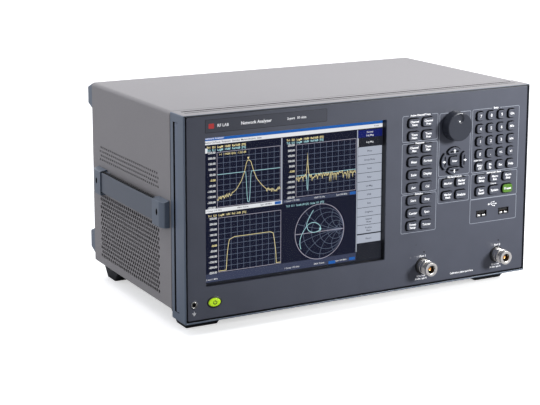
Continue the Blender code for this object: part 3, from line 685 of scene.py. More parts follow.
def add_cap(shape, outline):
    """A keycap: side walls painted near black for the shade round the key, a softly rounded painted top with
    a faint hollow.
    """
    shape.loft([at_depth(inset(outline, 0.15), KEY_FACE + 1), at_depth(outline, 5)], 1, False)
    rings = []
    for inward, deep in ((2.4, 0.18), (1.5, 0.099), (0.85, 0), (0.45, 0.1), (0.22, 0.38), (0.15, 0.75),
                         (0.15, 1)):
        rings.append(at_depth(inset(outline, inward), KEY_FACE + deep))
    shape.loft(rings, 0, True, False)


def add_legend(shape, words, x, z, wide, size=3.6):
    lines = words.split("|")
    if len(lines) == 1:
        size = 4.8 if len(words) == 1 else size
        shape.text(words, x, z, size, LETTER_D, 2, wide - 2, 0.11)
        return
    for line, shift in zip(lines, (1.65, -1.75)):
        shape.text(line, x, z + shift, 3.3, LETTER_D, 2, wide - 1.6, 0.12)


def make_keys(shape, bar, node, ending, top=KEY_TOP):
    """Puts the bar behind the caps and makes the piece."""
    # The bar behind the caps, seen in the gaps, is painted near black for the shade there.
    shape.slab(bar, 4.5, 5.8, paint=1)
    shape.make(node + ending, [top, KEY_SIDE_SHADE, GLOW_PRINT], node, node, smooth=35)


def build_keys():
    for name, centres, wide, row, legends in KEY_ROWS:
        shape = Shape()
        z = row_z(row)
        for x, words in zip(centres, legends):
            add_cap(shape, rounded_box(x, z, wide, KEY_HIGH, 3, 5))
            add_legend(shape, words, x, z, wide)
        reach = wide / 2 + 1.3
        last = centres[len(legends) - 1]
        bar = rounded_rect(centres[0] - reach, last + reach, z - 5.9, z + 5.9, 1.5, 2)
        make_keys(shape, bar, name, "_caps", GREEN_KEY if name == "preset_key" else KEY_TOP)
    for direction in TURNS:
        shape = Shape()
        add_cap(shape, round_off(petal(direction), 1.2))
        add_arrow(shape, direction)
        bar = round_off(petal(direction, 0.95), 1.2)
        make_keys(shape, bar, "arrow_key_" + direction, "_cap")
    shape = Shape()
    add_cap(shape, rounded_box(KNOB_X, ARROW_Z, 12.4, KEY_HIGH, 3, 5))
    add_legend(shape, "Enter", KNOB_X, ARROW_Z, 12.4, 2.9)
    make_keys(shape, rounded_box(KNOB_X, ARROW_Z, 14.2, 11.4, 3), "enter_key", "_cap")


def build_knob():
    """A turned knob with a finger dimple, its front drawn as fine rings."""
    front = -10.5
    back = 0.6
    profile = [(14.5 * k / 36, front) for k in range(37)]
    profile += [(14.95, front + 0.06), (15.3, front + 0.25), (15.5, front + 0.55), (15.6, front + 1),
                (16.1, back - 2.2), (16.35, back - 1.2), (16.4, back), (6, back), (6, -1.6)]
    shape = Shape()
    shape.turned(profile, KNOB_X, KNOB_Z, 96)
    dimple_up = 9
    dimple_radius = 4.7
    dimple_deep = 1.7
    for index, (x, d, z) in enumerate(shape.verts):
        away = math.hypot(x - KNOB_X, z - KNOB_Z - dimple_up) / dimple_radius
        if d < front + 0.01 and away < 1:
            d += dimple_deep * math.sqrt(1 - away ** 2 * 0.96) * min(1, (1 - away) * 6)
            shape.verts[index] = (x, d, z)
    shape.make("knob_body", [KNOB], body="knob", replaces="knob", smooth=40)


# ---- front panel

def build_panel():
    holes = [rounded_rect(*OPENING, 1.5)]
    for _, centres, wide, row, legends in KEY_ROWS:
        holes += [rounded_box(x, row_z(row), wide + 1.7, KEY_HIGH + 1.7, 3.7, 4)
                  for x, _ in zip(centres, legends)]
    holes += [round_off(petal(direction, 0.7), 1.5) for direction in TURNS]
    holes += [rounded_box(KNOB_X, ARROW_Z, 13.6, KEY_HIGH + 1.2, 3.5, 4), circle(KNOB_X, KNOB_Z, 5, 24),
              ellipse(*STANDBY, 8.6, 6.2, 40), circle(*GROUND, 4)]
    holes += [rounded_box(x, 73.1, 14.4, 7.6, 0.3, 2) for _, x in USB_SOCKETS]
    holes += [circle(x, PORT_Z, 8.25, 40) for _, x in PORTS]
    holes += [circle(x, z, radius, 14) for x, z, radius in LAMPS]
    shape = Shape()
    outline = rounded_rect(3.5, WIDTH - 2.4, 3.3, HEIGHT - 2.05, 1.6, 5)
    shape.plate(outline, holes, PANEL_FRONT, 4, 0.6, 1)
    shape.make("front_panel_plate", [PANEL, BLACK], replaces="front_panel", smooth=35)

    bezel = Shape()
    lip = PANEL_FRONT - 0.02
    inner = PANEL_FRONT + 0.9
    for steps, finish in ((((0.5, inner), (-0.1, lip), (-0.9, lip)), 1),
                          (((-2.5, 4.2), (-2.5, 7.7), (0.6, 7.7), (0.5, inner)), 0)):
        rings = [at_depth(inset(holes[0], inward)[::-1], depth) for inward, depth in steps]
        bezel.loft(rings, finish, False, False)
    bezel.make("display_bezel", [BLACK, PANEL], slot="panel_paint", smooth=35)

    plate = Shape()
    top = PANEL_FRONT - 0.2
    plate.slab(rounded_rect(24.5, 163.7, 194.8, 207.5, 0.6, 2), PANEL_FRONT - 0.15, PANEL_FRONT + 0.1,
               0.12)
    plate.stroke(rounded_rect(24.3, 163.9, 194.6, 207.7, 0.6, 2), 0.35, lip, 1, True)
    plate.flat(rounded_box(31, 201.2, 6, 5, 0.6, 2), top, 3)
    for words, x, size, wide, bold in (("RF LAB", 37.5, 4.2, 18, 0.08),
                                       ("Network Analyzer", 64, 4.6, None, 0.09),
                                       ("2-port   50 ohm", 117, 3.4, None, 0.08)):
        plate.text(words, x, 201.2, size, top, 2, wide, bold, 'LEFT')
    mark = surface("red_print", (0.55, 0.03, 0.03), vary=0.05)
    plate.make("name_plate", [PLATE, DEEP_BLACK_AND_SHADE, GLOW_PRINT, mark], smooth=35)


GROUPS = [
    (257.5, 302.7, 163.1, 191.1, "Active Channel/Trace", 28, 280),
    (257.6, 302.7, 106.7, 160.8, "Response", 14, 280),
    (257.8, 302.6, 62.6, 104.8, "Stimulus", 14, 280),
    (305.2, 346, 120.8, 190.2, "", 0, 0),
    (305.2, 346, 90.7, 118.8, "Marker/Analysis", 23, 326.5),
    (348.6, 411.8, 120.3, 190.7, "Entry", 9, 380),
    (348.7, 411.5, 90.3, 118.4, "Instrument State", 25, 379.5),
    (348.4, 411.5, 62.9, 89.8, "", 0, 0),
]


def build_print():
    """Group outlines, group names and the small markings on the panel."""
    d = PANEL_FRONT - 0.05
    lines = Shape()
    words = Shape()
    for x0, x1, z0, z1, title, gap, middle in GROUPS:
        ring = rounded_rect(x0, x1, z0, z1, 1.6)
        if not title:
            lines.stroke(ring, 0.55, d, 0, True)
            continue
        half = len(ring) // 2
        reach = gap / 2 + 0.8
        path = [(middle - reach, z1)] + ring[half:] + ring[:half] + [(middle + reach, z1)]
        lines.stroke(path, 0.55, d)
        words.text(title, middle, z1 + 0.1, 2.9, d - 0.02, 0, gap, 0.1)
    lines.make("panel_borders", [LINE])
    for title, x, z, wide in (("Active Entry", FOUR[0] - 0.6, row_z(4) + 6.9, 13.5),
                              ("Control", THREE[1], row_z(6) + 7, 9)):
        words.text(title, x, z, 2.3, d - 0.02, 0, wide, 0.08)
    # Universal serial bus sign
    z = 82.4
    for points in ([(373.6, z), (383.4, z)], [(375.8, z), (377.8, z + 2.2), (380.6, z + 2.2)],
                   [(377.2, z), (379.2, z - 2.2), (381.2, z - 2.2)]):
        words.stroke(points, 0.5, d)
    for outline in (circle(373.8, z, 1.15, 18), [(383, z - 1), (385.2, z), (383, z + 1)],
                    rounded_box(380.9, z + 2.2, 1.5, 1.5, 0.1, 1), circle(381.5, z - 2.2, 0.8, 14)):
        words.flat(outline, d)
    # Port names and values
    for number, x in PORTS:
        middle = x + 0.1 + 0.3 * number
        words.text("Port %d" % number, middle, 34.6, 3.2, d, bold=0.1)
        words.text("RF in / out", middle - 2, 12.4, 2.5, d, bold=0.08)
        words.text("50 ohm  type N", middle - 2, 9.4, 2.5, d, 0, 15, 0.08)
    words.text("Calibration plane: port face", 339, 9.6, 2.8, d, 0, 36, 0.09)
    # Ground sign under its socket
    x = GROUND[0]
    for k, half in enumerate((2.3, 1.5, 0.7)):
        words.stroke([(x - half, 11.2 - 1.1 * k), (x + half, 11.2 - 1.1 * k)], 0.4, d)
    words.stroke([(x, 13.2), (x, 11.2)], 0.4, d)
    words.make("panel_lettering", [GLOW_PRINT])
    lamps = Shape()
    for x, z, radius in LAMPS:
        lamps.slab(circle(x, z, radius + 0.05, 14), PANEL_FRONT + 0.3, PANEL_FRONT + 2, 0.1)
    lamps.make("port_lamps", [DEEP_BLACK_AND_SHADE])


def build_standby():
    x, z = STANDBY
    lens = Shape()
    lens.loft([at_depth(ellipse(x, z, 6.6 * scale, 4.3 * scale, 40), depth) for scale, depth in (
        (0.35, -0.78), (0.62, -0.72), (0.84, -0.58), (0.95, -0.32), (1, 0.1), (1, 5))])
    lens.slab(ellipse(x, z, 8.3, 6, 32), 4.5, 5.8)
    turns = [math.radians(35 + 290 * k / 24) for k in range(25)]
    lens.stroke([(x + 1.9 * math.sin(t), z + 1.7 * math.cos(t)) for t in turns], 0.95, -0.84, 1)
    lens.stroke([(x, z + 0.3), (x, z + 2.5)], 0.8, -0.85, 1)
    symbol = surface("symbol_print", (0.06, 0.12, 0.01), vary=0.1, grain=900)
    lens.make("standby_lens", [LIME, symbol], body="standby_button", replaces="standby_button", smooth=35)
    ring = Shape()
    ring.loft([at_depth(ellipse(x, z, a, b, 40), depth) for a, b, depth in (
        (6.9, 4.6, 4), (6.9, 4.6, 0.6), (7.1, 4.8, 0.35), (7.8, 5.5, 0.5), (8.5, 6.15, 0.9),
        (8.5, 6.15, 4))], 0, False, False)
    ring.make("standby_ring", [BLACK], smooth=40)


# ---- sockets and ports

def build_port(number, x):
    """Coaxial port: dark base, turned barrel with a fine thread, bright ring, contact."""
    tip = -17
    outer = 7.95
    root = 7.3
    crest = 7.65
    pitch = 1.06
    profile = [(4.3, tip + 8), (4.3, tip + 0.7), (4.6, tip + 0.2), (5, tip), (7.1, tip),
               (7.55, tip + 0.15), (7.8, tip + 0.6), (7.8, tip + 2.2), (root, tip + 2.5)]
    d = tip + 2.5
    for _ in range(4):
        profile += [(root, d + 0.35), (crest, d + 0.65), (crest, d + 0.8), (root, d + pitch)]
        d += pitch
    profile += [(7, d + 0.2), (7, d + 0.9), (outer, d + 1.2), (outer, d + 4.6), (7.6, d + 4.8),
                (7.6, d + 5.1), (outer, d + 5.3), (outer, 3)]
    barrel = Shape()
    barrel.turned(profile, x, PORT_Z, 56)
    barrel.turned([(7.9, -0.2), (8.7, -0.2), (9.1, 0.1), (9.3, 0.5), (9.3, 1.1)], x, PORT_Z, 56, 1)
    node = "test_port_%d" % number
    barrel.make(node + "_barrel", [NICKEL, BLACK], replaces=node, smooth=30)
    inside = Shape()
    inside.turned([(4.32, tip + 2), (4.32, tip + 8.4), (0, tip + 8.4)], x, PORT_Z, 40, 1)
    inside.turned([(0, tip + 4.4), (0.5, tip + 4.4), (0.8, tip + 3.8), (1.7, tip + 3.5),
                   (1.95, tip + 3.9), (1.95, tip + 8.4)], x, PORT_Z, 28)
    inside.make(node + "_contact", [GOLD, BLACK], smooth=40)


def build_usb(number, x):
    """What lies in a USB socket's mouth: tongue with contacts, black sheets that paint the shade inside, two
    springs.
    """
    show_node("usb_socket_%d" % number, DARK_STEEL, 0.1)
    inner = Shape()
    inner.box((x - 5.7, x + 5.7), (2.2, 15), (73.2, 75.4), 0.15)
    for u in spread(x, 2.4, 4):
        inner.box((u - 0.5, u + 0.5), (2.6, 6), (73.05, 73.25), 0, 1)
    inner.make("usb_tongue_%d" % number, [DEEP_BLACK_AND_SHADE, GOLD], smooth=40)
    # Black sheets just inside the shell, painted shade in the socket's mouth.
    shade_lining = Shape()
    for xs, ds, zs in (((-6.35, 6.35), (13.4, 13.9), (69.9, 76.3)),
                       ((-6.3, -6.24), (1.4, 13.8), (70, 76.2)),
                       ((6.25, 6.31), (1.4, 13.8), (70, 76.2)),
                       ((-6.3, 6.3), (1.4, 13.8), (76.15, 76.2)),
                       ((-6.3, 6.3), (3.2, 13.8), (70.02, 70.08))):
        shade_lining.box((x + xs[0], x + xs[1]), ds, zs)
    shade_lining.make("usb_lining_%d" % number, [DEEP_BLACK_AND_SHADE])
    springs = Shape()
    for u in (x - 3.2, x + 3.2):
        springs.slab(rounded_box(u, 71, 4.4, 1.9, 0.6), 1.1, 2.2, 0.35)
    springs.make("usb_springs_%d" % number, [SPRING], smooth=40)


def build_sockets():
    for number, x in PORTS:
        build_port(number, x)
    for number, x in USB_SOCKETS:
        build_usb(number, x)
    ground = Shape()
    ground.turned([(2.05, 13), (2.1, 0.7), (2.5, 0.2), (2.9, 0.05), (3.3, 0.2), (3.5, 0.5), (4.3, 0.7),
                   (4.6, 0.95), (4.6, 1.1)], *GROUND, 40, 0, [0, 0, 0, 0, 0, 2, 2, 2])
    # A black disc closes the bore, painted shade in the hole.
    ground.flat(circle(*GROUND, 2.1, 24), 3, 1)
    ground.make("ground_socket_ring", [BRASS, DEEP_BLACK_AND_SHADE, PANEL], replaces="ground_socket", smooth=35)


# ---- display picture

SCREEN_D = 7.95
PLOTS = ((40.6, 113, 116, 172.5), (131.7, 204, 116.4, 171.5), (41.7, 113.8, 48.3, 104.8))
SMITH = (160.4, 76.2, 29.6)
RESONANCE = [(0, 0.16), (0.1, 0.18), (0.22, 0.215), (0.3, 0.29), (0.38, 0.44), (0.43, 0.6),
             (0.455, 0.74), (0.475, 0.8), (0.5, 0.8), (0.53, 0.77), (0.57, 0.6), (0.62, 0.45),
             (0.7, 0.32), (0.79, 0.215), (0.9, 0.2), (1, 0.21)]
LOCUS = [(-.26, .81), (-.38, .64), (-.5, .42), (-.53, .27), (-.45, .09), (-.25, 0), (-.03, .04),
         (.04, .14), (-.04, .26), (-.2, .35), (-.37, .35), (-.52, .26), (-.68, .06), (-.79, -.18),
         (-.8, -.4), (-.76, -.55)]
SCREEN_COLOURS = {
    "dark": (0.018, 0.02, 0.028), "navy": (0.008, 0.01, 0.026), "blue": (0.02, 0.13, 0.48),
    "deep_blue": (0.008, 0.014, 0.14), "white": (0.86, 0.88, 0.92), "grey": (0.46, 0.5, 0.59),
    "status": (0.05, 0.06, 0.11), "grid": (0.145, 0.18, 0.265), "axis": (0.46, 0.44, 0.54),
    "yellow": (1, 0.87, 0.44), "cyan": (0.47, 0.82, 0.89), "ink": (0.03, 0.03, 0.05),
}
# Layer, left, right, bottom, top, and how far it lies before the screen
SCREEN_BLOCKS = (
    ("dark", 22, 240, 34.5, 191.5, 0), ("navy", 25, 205.3, 47.6, 180.6, 0.05),
    ("blue", 25, 236.6, 185.1, 189.2, 0.1), ("white", 25, 236.6, 181, 185, 0.1),
    ("blue", 25, 26.2, 47.6, 180.6, 0.12), ("deep_blue", 206, 236.4, 171.6, 179.6, 0.1),
    ("dark", 206, 236.4, 162, 171.2, 0.1), ("white", 206.3, 207, 162, 171.2, 0.12),
    ("status", 25, 205.3, 38.9, 47.4, 0.1), ("status", 116, 205.3, 111.2, 115.2, 0.1),
    ("white", 25.6, 115, 111, 115, 0.12), ("grey", 114, 115.4, 111, 180.4, 0.12),
    ("grey", 205.2, 206.2, 48, 180.4, 0.12), ("blue", 106.6, 113.8, 111.5, 114.5, 0.18),
    ("blue", 197, 204.2, 111.7, 114.7, 0.18), ("blue", 197, 204.2, 40.1, 43.1, 0.18),
    ("blue", 171.5, 180, 39.2, 42.4, 0.2),
)
SOFT_KEYS = ("Phase", "Group Delay", "Smith", "Polar", "Lin Mag", "SWR", "Real", "Imaginary",
             "Expand|Phase", "Positive|Phase", "Return")
# Layer, words, place, size, boldness, alignment and greatest width
SCREEN_WORDS = (
    ("white", "Format", 221, 177, 2.7, 0.03, 'CENTER'),
    ("white", "Log Mag", 221, 173.6, 2.7, 0.03, 'CENTER'),
    ("white", "Log Mag", 221, 166.4, 2.7, 0.03, 'CENTER'),
    ("white", "Network Analyzer", 26.6, 187.2, 2.9, 0.04),
    ("ink", "Active Ch/Trace  Response  Stimulus  Marker/Analysis  State", 27, 183, 2.6),
    ("ink", "Resize", 229, 183, 2.4, 0, 'CENTER'),
    ("white", "2 Start 1 MHz", 27.5, 41.6),
    ("yellow", ">1  1.9500 GHz  -1.03 dB", 43, 170, 2.9, 0.03, 'LEFT', 44),
    ("yellow", "Tr1  S21  LogM  1dB/  Ref -2dB  [F2]", 30, 107.7, 2.9, 0.03, 'LEFT', 62),
    ("cyan", "Tr2  S11  Smith (R+jX)  Scale 1U  [F2]", 120, 107.7, 2.9, 0.03, 'LEFT', 62),
)


def plot_curves():
    """Points of each trace, in shares of its plot's width and height."""
    rng = random.Random(7)
    curves = ([], [], [], [], [])
    steps = 150
    for k in range(steps + 1):
        u = k / steps
        index = max(i for i, knot in enumerate(RESONANCE[:-1]) if knot[0] <= u)
        (u0, v0), (u1, v1) = RESONANCE[index:index + 2]
        resonance = v0 + (v1 - v0) * (u - u0) / (u1 - u0)
        if resonance < 0.235:
            resonance += 0.075 * (rng.random() - 0.5)
        notch = 0.595 - 0.56 * math.exp(-((u - 0.49) / 0.032) ** 4)
        spike = 0.335 + 0.075 * rng.random()
        if rng.random() < 0.16:
            spike -= 0.13 * rng.random()
        spike += 0.44 * math.exp(-abs(u - 0.187) / 0.012)
        dip = 0.405 - 0.3 * math.exp(-((u - 0.187) / 0.011) ** 4)
        edges = math.sqrt(clamp((u - 0.125) / 0.045) * clamp((0.925 - u) / 0.05))
        rise = 0.93 + 0.07 * clamp((u - 0.17) / 0.08)
        droop = 1 - 0.12 * max(0, (u - 0.8) / 0.12) ** 2
        for curve, v in zip(curves, (resonance, notch, spike, dip, 0.02 + 0.6 * edges * rise * droop)):
            curve.append((u, v))
    return curves


def smith_lines():
    """Constant resistance circles and reactance arcs in the unit circle."""
    found = []
    for value in (0.2, 0.5, 1, 2, 5):
        ring = circle(value / (1 + value), 0, 1 / (1 + value), 60)
        found.append(ring + ring[:1])
        radius = 1 / value
        for sign in (1, -1):
            arc = [(u, sign * v) for u, v in circle(1, radius, radius, 240) if u * u + v * v <= 1]
            arc.sort(key=lambda p: math.atan2(p[1] * sign - radius, p[0] - 1) % (2 * math.pi))
            found.append(arc)
    return found


def smooth_path(points, parts=6):
    """Points along a smooth curve through the given ones."""
    spots = [Vector(p) for p in points[:1] + points + points[-1:]]
    result = []
    for p0, p1, p2, p3 in zip(spots, spots[1:], spots[2:], spots[3:]):
        for k in range(parts):
            t = k / parts
            point = 0.5 * (2 * p1 + (p2 - p0) * t + (2 * p0 - 5 * p1 + 4 * p2 - p3) * t ** 2
                           + (3 * p1 - p0 - 3 * p2 + p3) * t ** 3)
            result.append(tuple(point))
    return result + points[-1:]


def build_screen():
    layers = {name: Shape() for name in SCREEN_COLOURS}

    def block(layer, x0, x1, z0, z1, proud):
        layers[layer].flat(rect(x0, x1, z0, z1), SCREEN_D - proud)

    def say(layer, words, x, z, size=2.3, bold=0.02, align='LEFT', wide=None):
        layers[layer].text(words, x, z, size, SCREEN_D - 0.2, 0, wide, bold, align)

    def line(layer, points, width, proud, closed=False):
        layers[layer].stroke(points, width, SCREEN_D - proud, 0, closed)

    for row in SCREEN_BLOCKS:
        block(*row)
    for row in SCREEN_WORDS:
        say(*row)
    pitch = 9.45
    for k, words in enumerate(SOFT_KEYS):
        top = 161.4 - pitch * k - (0.9 if words == "Return" else 0)
        block("grey", 206.5, 236.3, top - pitch + 0.45, top, 0.1)
        lines = words.split("|")
        for part, shift in zip(lines, (1.6, -1.6) if len(lines) > 1 else (0,)):
            say("ink", part, 221, top - pitch / 2 + shift, 2.6, align='CENTER')
    for ink, x, z in (("ink", 25.6, 113), ("white", 116, 113.2), ("white", 116, 41.6)):
        say(ink, "1 Center 1.95 GHz", x + 2, z)
        say(ink, "IFBW 70 kHz", x + 44, z, align='CENTER')
        say(ink, "Span 200 MHz", x + 71, z, align='CENTER')

    for x0, x1, z0, z1 in PLOTS:
        for k in range(1, 10):
            x = x0 + (x1 - x0) * k / 10
            z = z0 + (z1 - z0) * k / 10
            line("grid", [(x, z0), (x, z1)], 0.38, 0.1)
            line("grid", [(x0, z), (x1, z)], 0.38, 0.11)
        line("axis", rect(x0, x1, z0, z1), 0.45, 0.13, True)
        for k in range(11):
            say("yellow" if k == 5 else "white", "%.2f" % (50.0 * (5 - k) * -1.0), x0 - 1.8,
                z0 + (z1 - z0) * k / 10, 3, 0.09, 'RIGHT', 9.5)
    for curve, layer, index in zip(plot_curves(), ("yellow", "cyan") * 3, (0, 0, 1, 1, 2)):
        x0, x1, z0, z1 = PLOTS[index]
        points = [(x0 + (x1 - x0) * u, z0 + (z1 - z0) * v) for u, v in curve]
        line(layer, points, 0.5, 0.16 if layer == "cyan" else 0.19)
    for x0, _, _, z1 in PLOTS[:2]:
        for layer, name, rise in (("yellow", "Tr1  S21", 5.5), ("cyan", "Tr2  S11", 2.5)):
            say(layer, name + "  LogM  10dB/  Ref 0dB  [F2]", x0 - 11.5, z1 + rise, 2.9, 0.07, 'LEFT',
                66)
    layers["white"].flat(rounded_box(28.6, 175.1, 3, 5, 0.3, 1), SCREEN_D - 0.2)
    x0, x1, z0, z1 = PLOTS[0]
    x = x0 + 0.487 * (x1 - x0)
    z = z0 + 0.815 * (z1 - z0)
    layers["yellow"].flat([(x, z), (x + 1.3, z + 2.4), (x - 1.3, z + 2.4)], SCREEN_D - 0.2)

    cx, cz, radius = SMITH
    rng = random.Random(3)
    knot = [(0.02 + 0.09 * (rng.random() - 0.5), 0.1 + 0.16 * (rng.random() - 0.5)) for _ in range(14)]
    charts = [("grid", points, 0.4, 0.1) for points in smith_lines() if len(points) > 1]
    charts += [("axis", [(-1, 0), (1, 0)], 0.6, 0.13), ("cyan", smooth_path(LOCUS), 0.6, 0.19),
               ("cyan", knot, 0.45, 0.2)]
    for layer, points, width, proud in charts:
        line(layer, [(cx + radius * u, cz + radius * v) for u, v in points], width, proud)
    line("axis", circle(cx, cz, radius, 90), 0.6, 0.13, True)

    for name, shape in layers.items():
        light = screen_light(name, SCREEN_COLOURS[name])
        shape.make("screen_" + name, [light])
    show_node("display_module", BLACK)
    glass = surface("window_glass", (0.02, 0.022, 0.026), 0.1, vary=0.3, grain=300)
    glass.node_tree.nodes["Principled BSDF"].inputs["Alpha"].default_value = 0.05
    pane = Shape()
    pane.box((21.5, 240.1), (7.15, 7.55), (33.9, 192.3))
    pane.make("display_pane", [glass], replaces="display_window")


# ---- handles

STRAP_START = 56.2
STRAP_STOP = 200.8
STRAP_MIDDLE = 128.5
GRIP_START = 58.8
GRIP_LENGTH = 139.4


def outward(side, distance):
    return -distance if side == "left" else WIDTH + distance


def cap_section(out, z0, z1, edge=0.7):
    """Outline of the cap at one depth, from the case outwards: (out, height)."""
    top = z1 - 1.6
    return [(0.3, z0 + 0.5), (0.7, z0), (out - edge, z0), (out - edge * 0.3, z0 + edge * 0.3),
            (out, z0 + edge), (out, top - edge), (out - edge * 0.3, top - edge * 0.25),
            (out - edge, top + 0.05), (0.7, z1), (0.3, z1 - 0.5)]


def side_disc(x, d, z, high, deep):
    """A ring of points at one x, for a round thing in the case's side."""
    return [(x, u, v) for u, v in ellipse(d, z, deep, high, 20)]


def build_cap(side, end, stations, pocket, foot, screw_d):
    """A handle cap with its pocket for the strap, its base, and its screw in a recess."""
    shape = Shape()
    shape.loft([[(outward(side, o), d, z) for o, z in cap_section(out, 93.5, 122)]
                for d, out in stations])
    name = "handle_cap_%s_%s" % (end, side)
    cap = shape.make(name + "_shell", [HANDLE, DEEP_BLACK_AND_SHADE], replaces=name, smooth=38, outward=True)
    hollow = Shape()
    hollow.box(sorted((outward(side, 3.2), outward(side, 7.9))), pocket, (96.4, 120.4))
    # The pocket and the screw hole get black walls, painted shade in them.
    cut(cap, hollow, "hollow", name + "_pocket")
    hole = Shape()
    hole.loft([side_disc(outward(side, out), screw_d, 108.6, 3.4, 2.2) for out in (6, 12)])
    cut(cap, hole, "hollow", name + "_screw_hole")
    base = Shape()
    base.box(sorted((outward(side, 0.3), outward(side, 3))), foot, (97.6, 119.8), 0.5)
    base.make(name + "_base", [HANDLE], smooth=38, outward=True)
    head = Shape()
    head.loft([side_disc(outward(side, out), screw_d, 108.2, radius, radius)
               for out, radius in ((5.4, 1.5), (6.7, 1.3))])
    head.make(name + "_screw", [STEEL], smooth=38, outward=True)


def build_strap(side, half, first, last):
    """Half a strap, bowed a little outwards along the grip."""
    body = "handle_grip_" + side
    steps = 26
    # The inner layer is painted black and stands above the skin, as painted shadow in the gap between strap
    # and case.
    for layer, low, high, z0, z1, soft, finish in (
            ("skin", 5.6, 7.6, 97.2, 119.4, 0.5, STRAP), ("shade_band", 2.9, 5.5, 97.8, 120.3, 0.1, DEEP_BLACK_AND_SHADE)):
        section = [(low, z0 + soft), (low + soft, z0), (high - soft, z0),
                   (high - soft * 0.3, z0 + soft * 0.3), (high, z0 + soft),
                   (high, z1 - soft), (high - soft * 0.3, z1 - soft * 0.3),
                   (high - soft, z1), (low + soft, z1), (low, z1 - soft)]
        rings = []
        for k in range(steps + 1):
            d = first + (last - first) * k / steps
            bow = 0.5 * math.sin(math.pi * clamp((d - GRIP_START) / GRIP_LENGTH))
            rings.append([(outward(side, o + bow), d, z) for o, z in section])
        shape = Shape()
        shape.loft(rings)
        obj = shape.make("strap_%s_%s_%s" % (layer, half, side), [finish], body=None, smooth=38,
                         outward=True)
        if layer == "skin":
            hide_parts(body)
        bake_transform(obj)


def build_handle(side):
    build_cap(side, "front", [(34, 4.9), (34.2, 5.6), (34.8, 6.5), (40.6, 8.6), (41.6, 8.85),
                              (42.8, 8.9), (58.5, 8.9)], (55.5, 60), (58.4, 68), 47)
    build_cap(side, "rear", [(198.5, 8.9), (213.7, 8.9), (214.9, 8.85), (215.9, 8.6), (221.7, 6.5),
                             (222.3, 5.6), (222.5, 4.9)], (197, 201.5), (188, 198.6), 209.5)
    build_strap(side, "front", STRAP_START, STRAP_MIDDLE)
    build_strap(side, "rear", STRAP_MIDDLE, STRAP_STOP)


# ---- rear

BACK = 237
# Centre, size and finish of each interface socket
REAR_SOCKETS = ((205, 170, 46, 13, 3), (205, 148, 32, 12, 4), (205, 126, 32, 12, 3),
                (150, 170, 17, 14.5, 0), (150, 148, 16, 8, 0), (150, 136, 16, 8, 0))
COAX_ROWS = (175, 150, 125)
REAR_WORDS = (("REF IN", 100, 165.5), ("REF OUT", 65, 165.5), ("TRIG IN", 100, 140.5),
              ("TRIG OUT", 65, 140.5), ("AUX 1", 100, 115.5), ("AUX 2", 65, 115.5), ("LAN", 150, 158.5),
              ("USB", 150, 128.5), ("BUS", 205, 159.8), ("VIDEO", 205, 138.4), ("I/O", 205, 116.5),
              ("LINE", 62, 62))
INLET = (62, 44)


def build_interface(rear, x, z, wide, high, colour):
    """An interface socket: its shell, its mouth, and where it has pins, pins and posts."""
    for trim, proud, finish, edge in ((0, 2.4, 0, 0.3), (2.2, 2.5, colour or 2, 0.2)):
        half = (wide - trim) / 2
        tall = (high - trim) / 2
        rear.box((x - half, x + half), (BACK - 0.5, BACK + proud), (z - tall, z + tall), edge, finish)
    if not colour:
        return
    pins = int(wide / 4) - 1
    for u in spread(x, (wide - 10) / (pins - 1), pins):
        rear.box((u - 0.5, u + 0.5), (BACK + 2.4, BACK + 2.7), (z - 2.2, z + 2.2), 0, 1)
    for u in (x - wide / 2 - 4, x + wide / 2 + 4):
        rear.slab(circle(u, z, 2.8, 6), BACK - 0.5, BACK + 4.6)


def build_rear():
    """Rear connectors, labels and screws, and the finish of the plates and fan."""
    show_node("rear_panel", ZINC)
    show_node("fan_housing", BLACK)
    show_node("fan_rotor", BLACK)
    show_node("power_inlet", BLACK, 0.3)
    rear = Shape()
    for socket in REAR_SOCKETS:
        build_interface(rear, *socket)
    coax = [(0, 8.4), (0.7, 8.4), (0.7, 3), (3.9, 3), (3.9, 9.4), (4.3, 9.6), (4.8, 9.4), (4.8, 2.4),
            (7, 2.2), (7.4, 1.8), (7.4, -0.5)]
    screw = [(0, 0.6), (1, 0.6), (1, 1.3), (2.6, 1.1), (3.1, 0.4), (3.1, -0.4)]
    spots = [(x, z, BACK, coax, 28) for x in (100, 65) for z in COAX_ROWS]
    spots += [(x, z, BACK, screw, 20) for x in (12, 250, 413) for z in (60, 180)]
    spots += [(x, z, BACK, screw, 20) for x in (130, 295) for z in (8, 207)]
    spots += [(x, z, BACK, screw, 20) for x in (309, 381) for z in (84, 156)]
    spots += [(x, INLET[1], BACK + 2.3, screw, 20) for x in (INLET[0] - 20, INLET[0] + 20)]
    for x, z, start, profile, segments in spots:
        rear.turned([(radius, start + proud) for radius, proud in profile], x, z, segments)
    rear.make("rear_connectors", [STEEL, GOLD, BLACK, GREY_PLASTIC, BLUE_PLASTIC], smooth=38)
    pins = Shape()
    for x, z in ((-7, -2), (7, -2), (0, 2)):
        x += INLET[0]
        z += INLET[1]
        pins.box((x - 1.1, x + 1.1), (224, 234.3), (z - 2.1, z + 2.1), 0.3)
    pins.make("inlet_pins", [NICKEL], smooth=38)
    marks = Shape()
    for words, x, z in REAR_WORDS:
        marks.text(words, x, z, 3.4, BACK + 0.03, bold=0.05, side="rear")
    marks.make("rear_lettering", [DEEP_BLACK_AND_SHADE], slot="zinc_plate")


def build_feet_and_modules():
    for side in ("left", "right"):
        for level in ("top", "low"):
            show_node("bumper_%s_%s" % (level, side), FRAME, 0.8)
        for end in ("front", "rear"):
            show_node("foot_%s_%s" % (end, side), RUBBER, 0.9)
    show_node("receiver_module", ALUMINIUM, 0.4)
    show_node("power_supply", ZINC, 0.4)
    show_node("key_board", BOARD)
    pads = Shape()
    for xs in ((17, 45), (380, 408)):
        for middle in (37, 224.5):
            for d in spread(middle, 6, 3):
                pads.box(xs, (d - 1, d + 1), (-12.5, -12.2))
    pads.make("foot_treads", [RUBBER])


# ---- stage

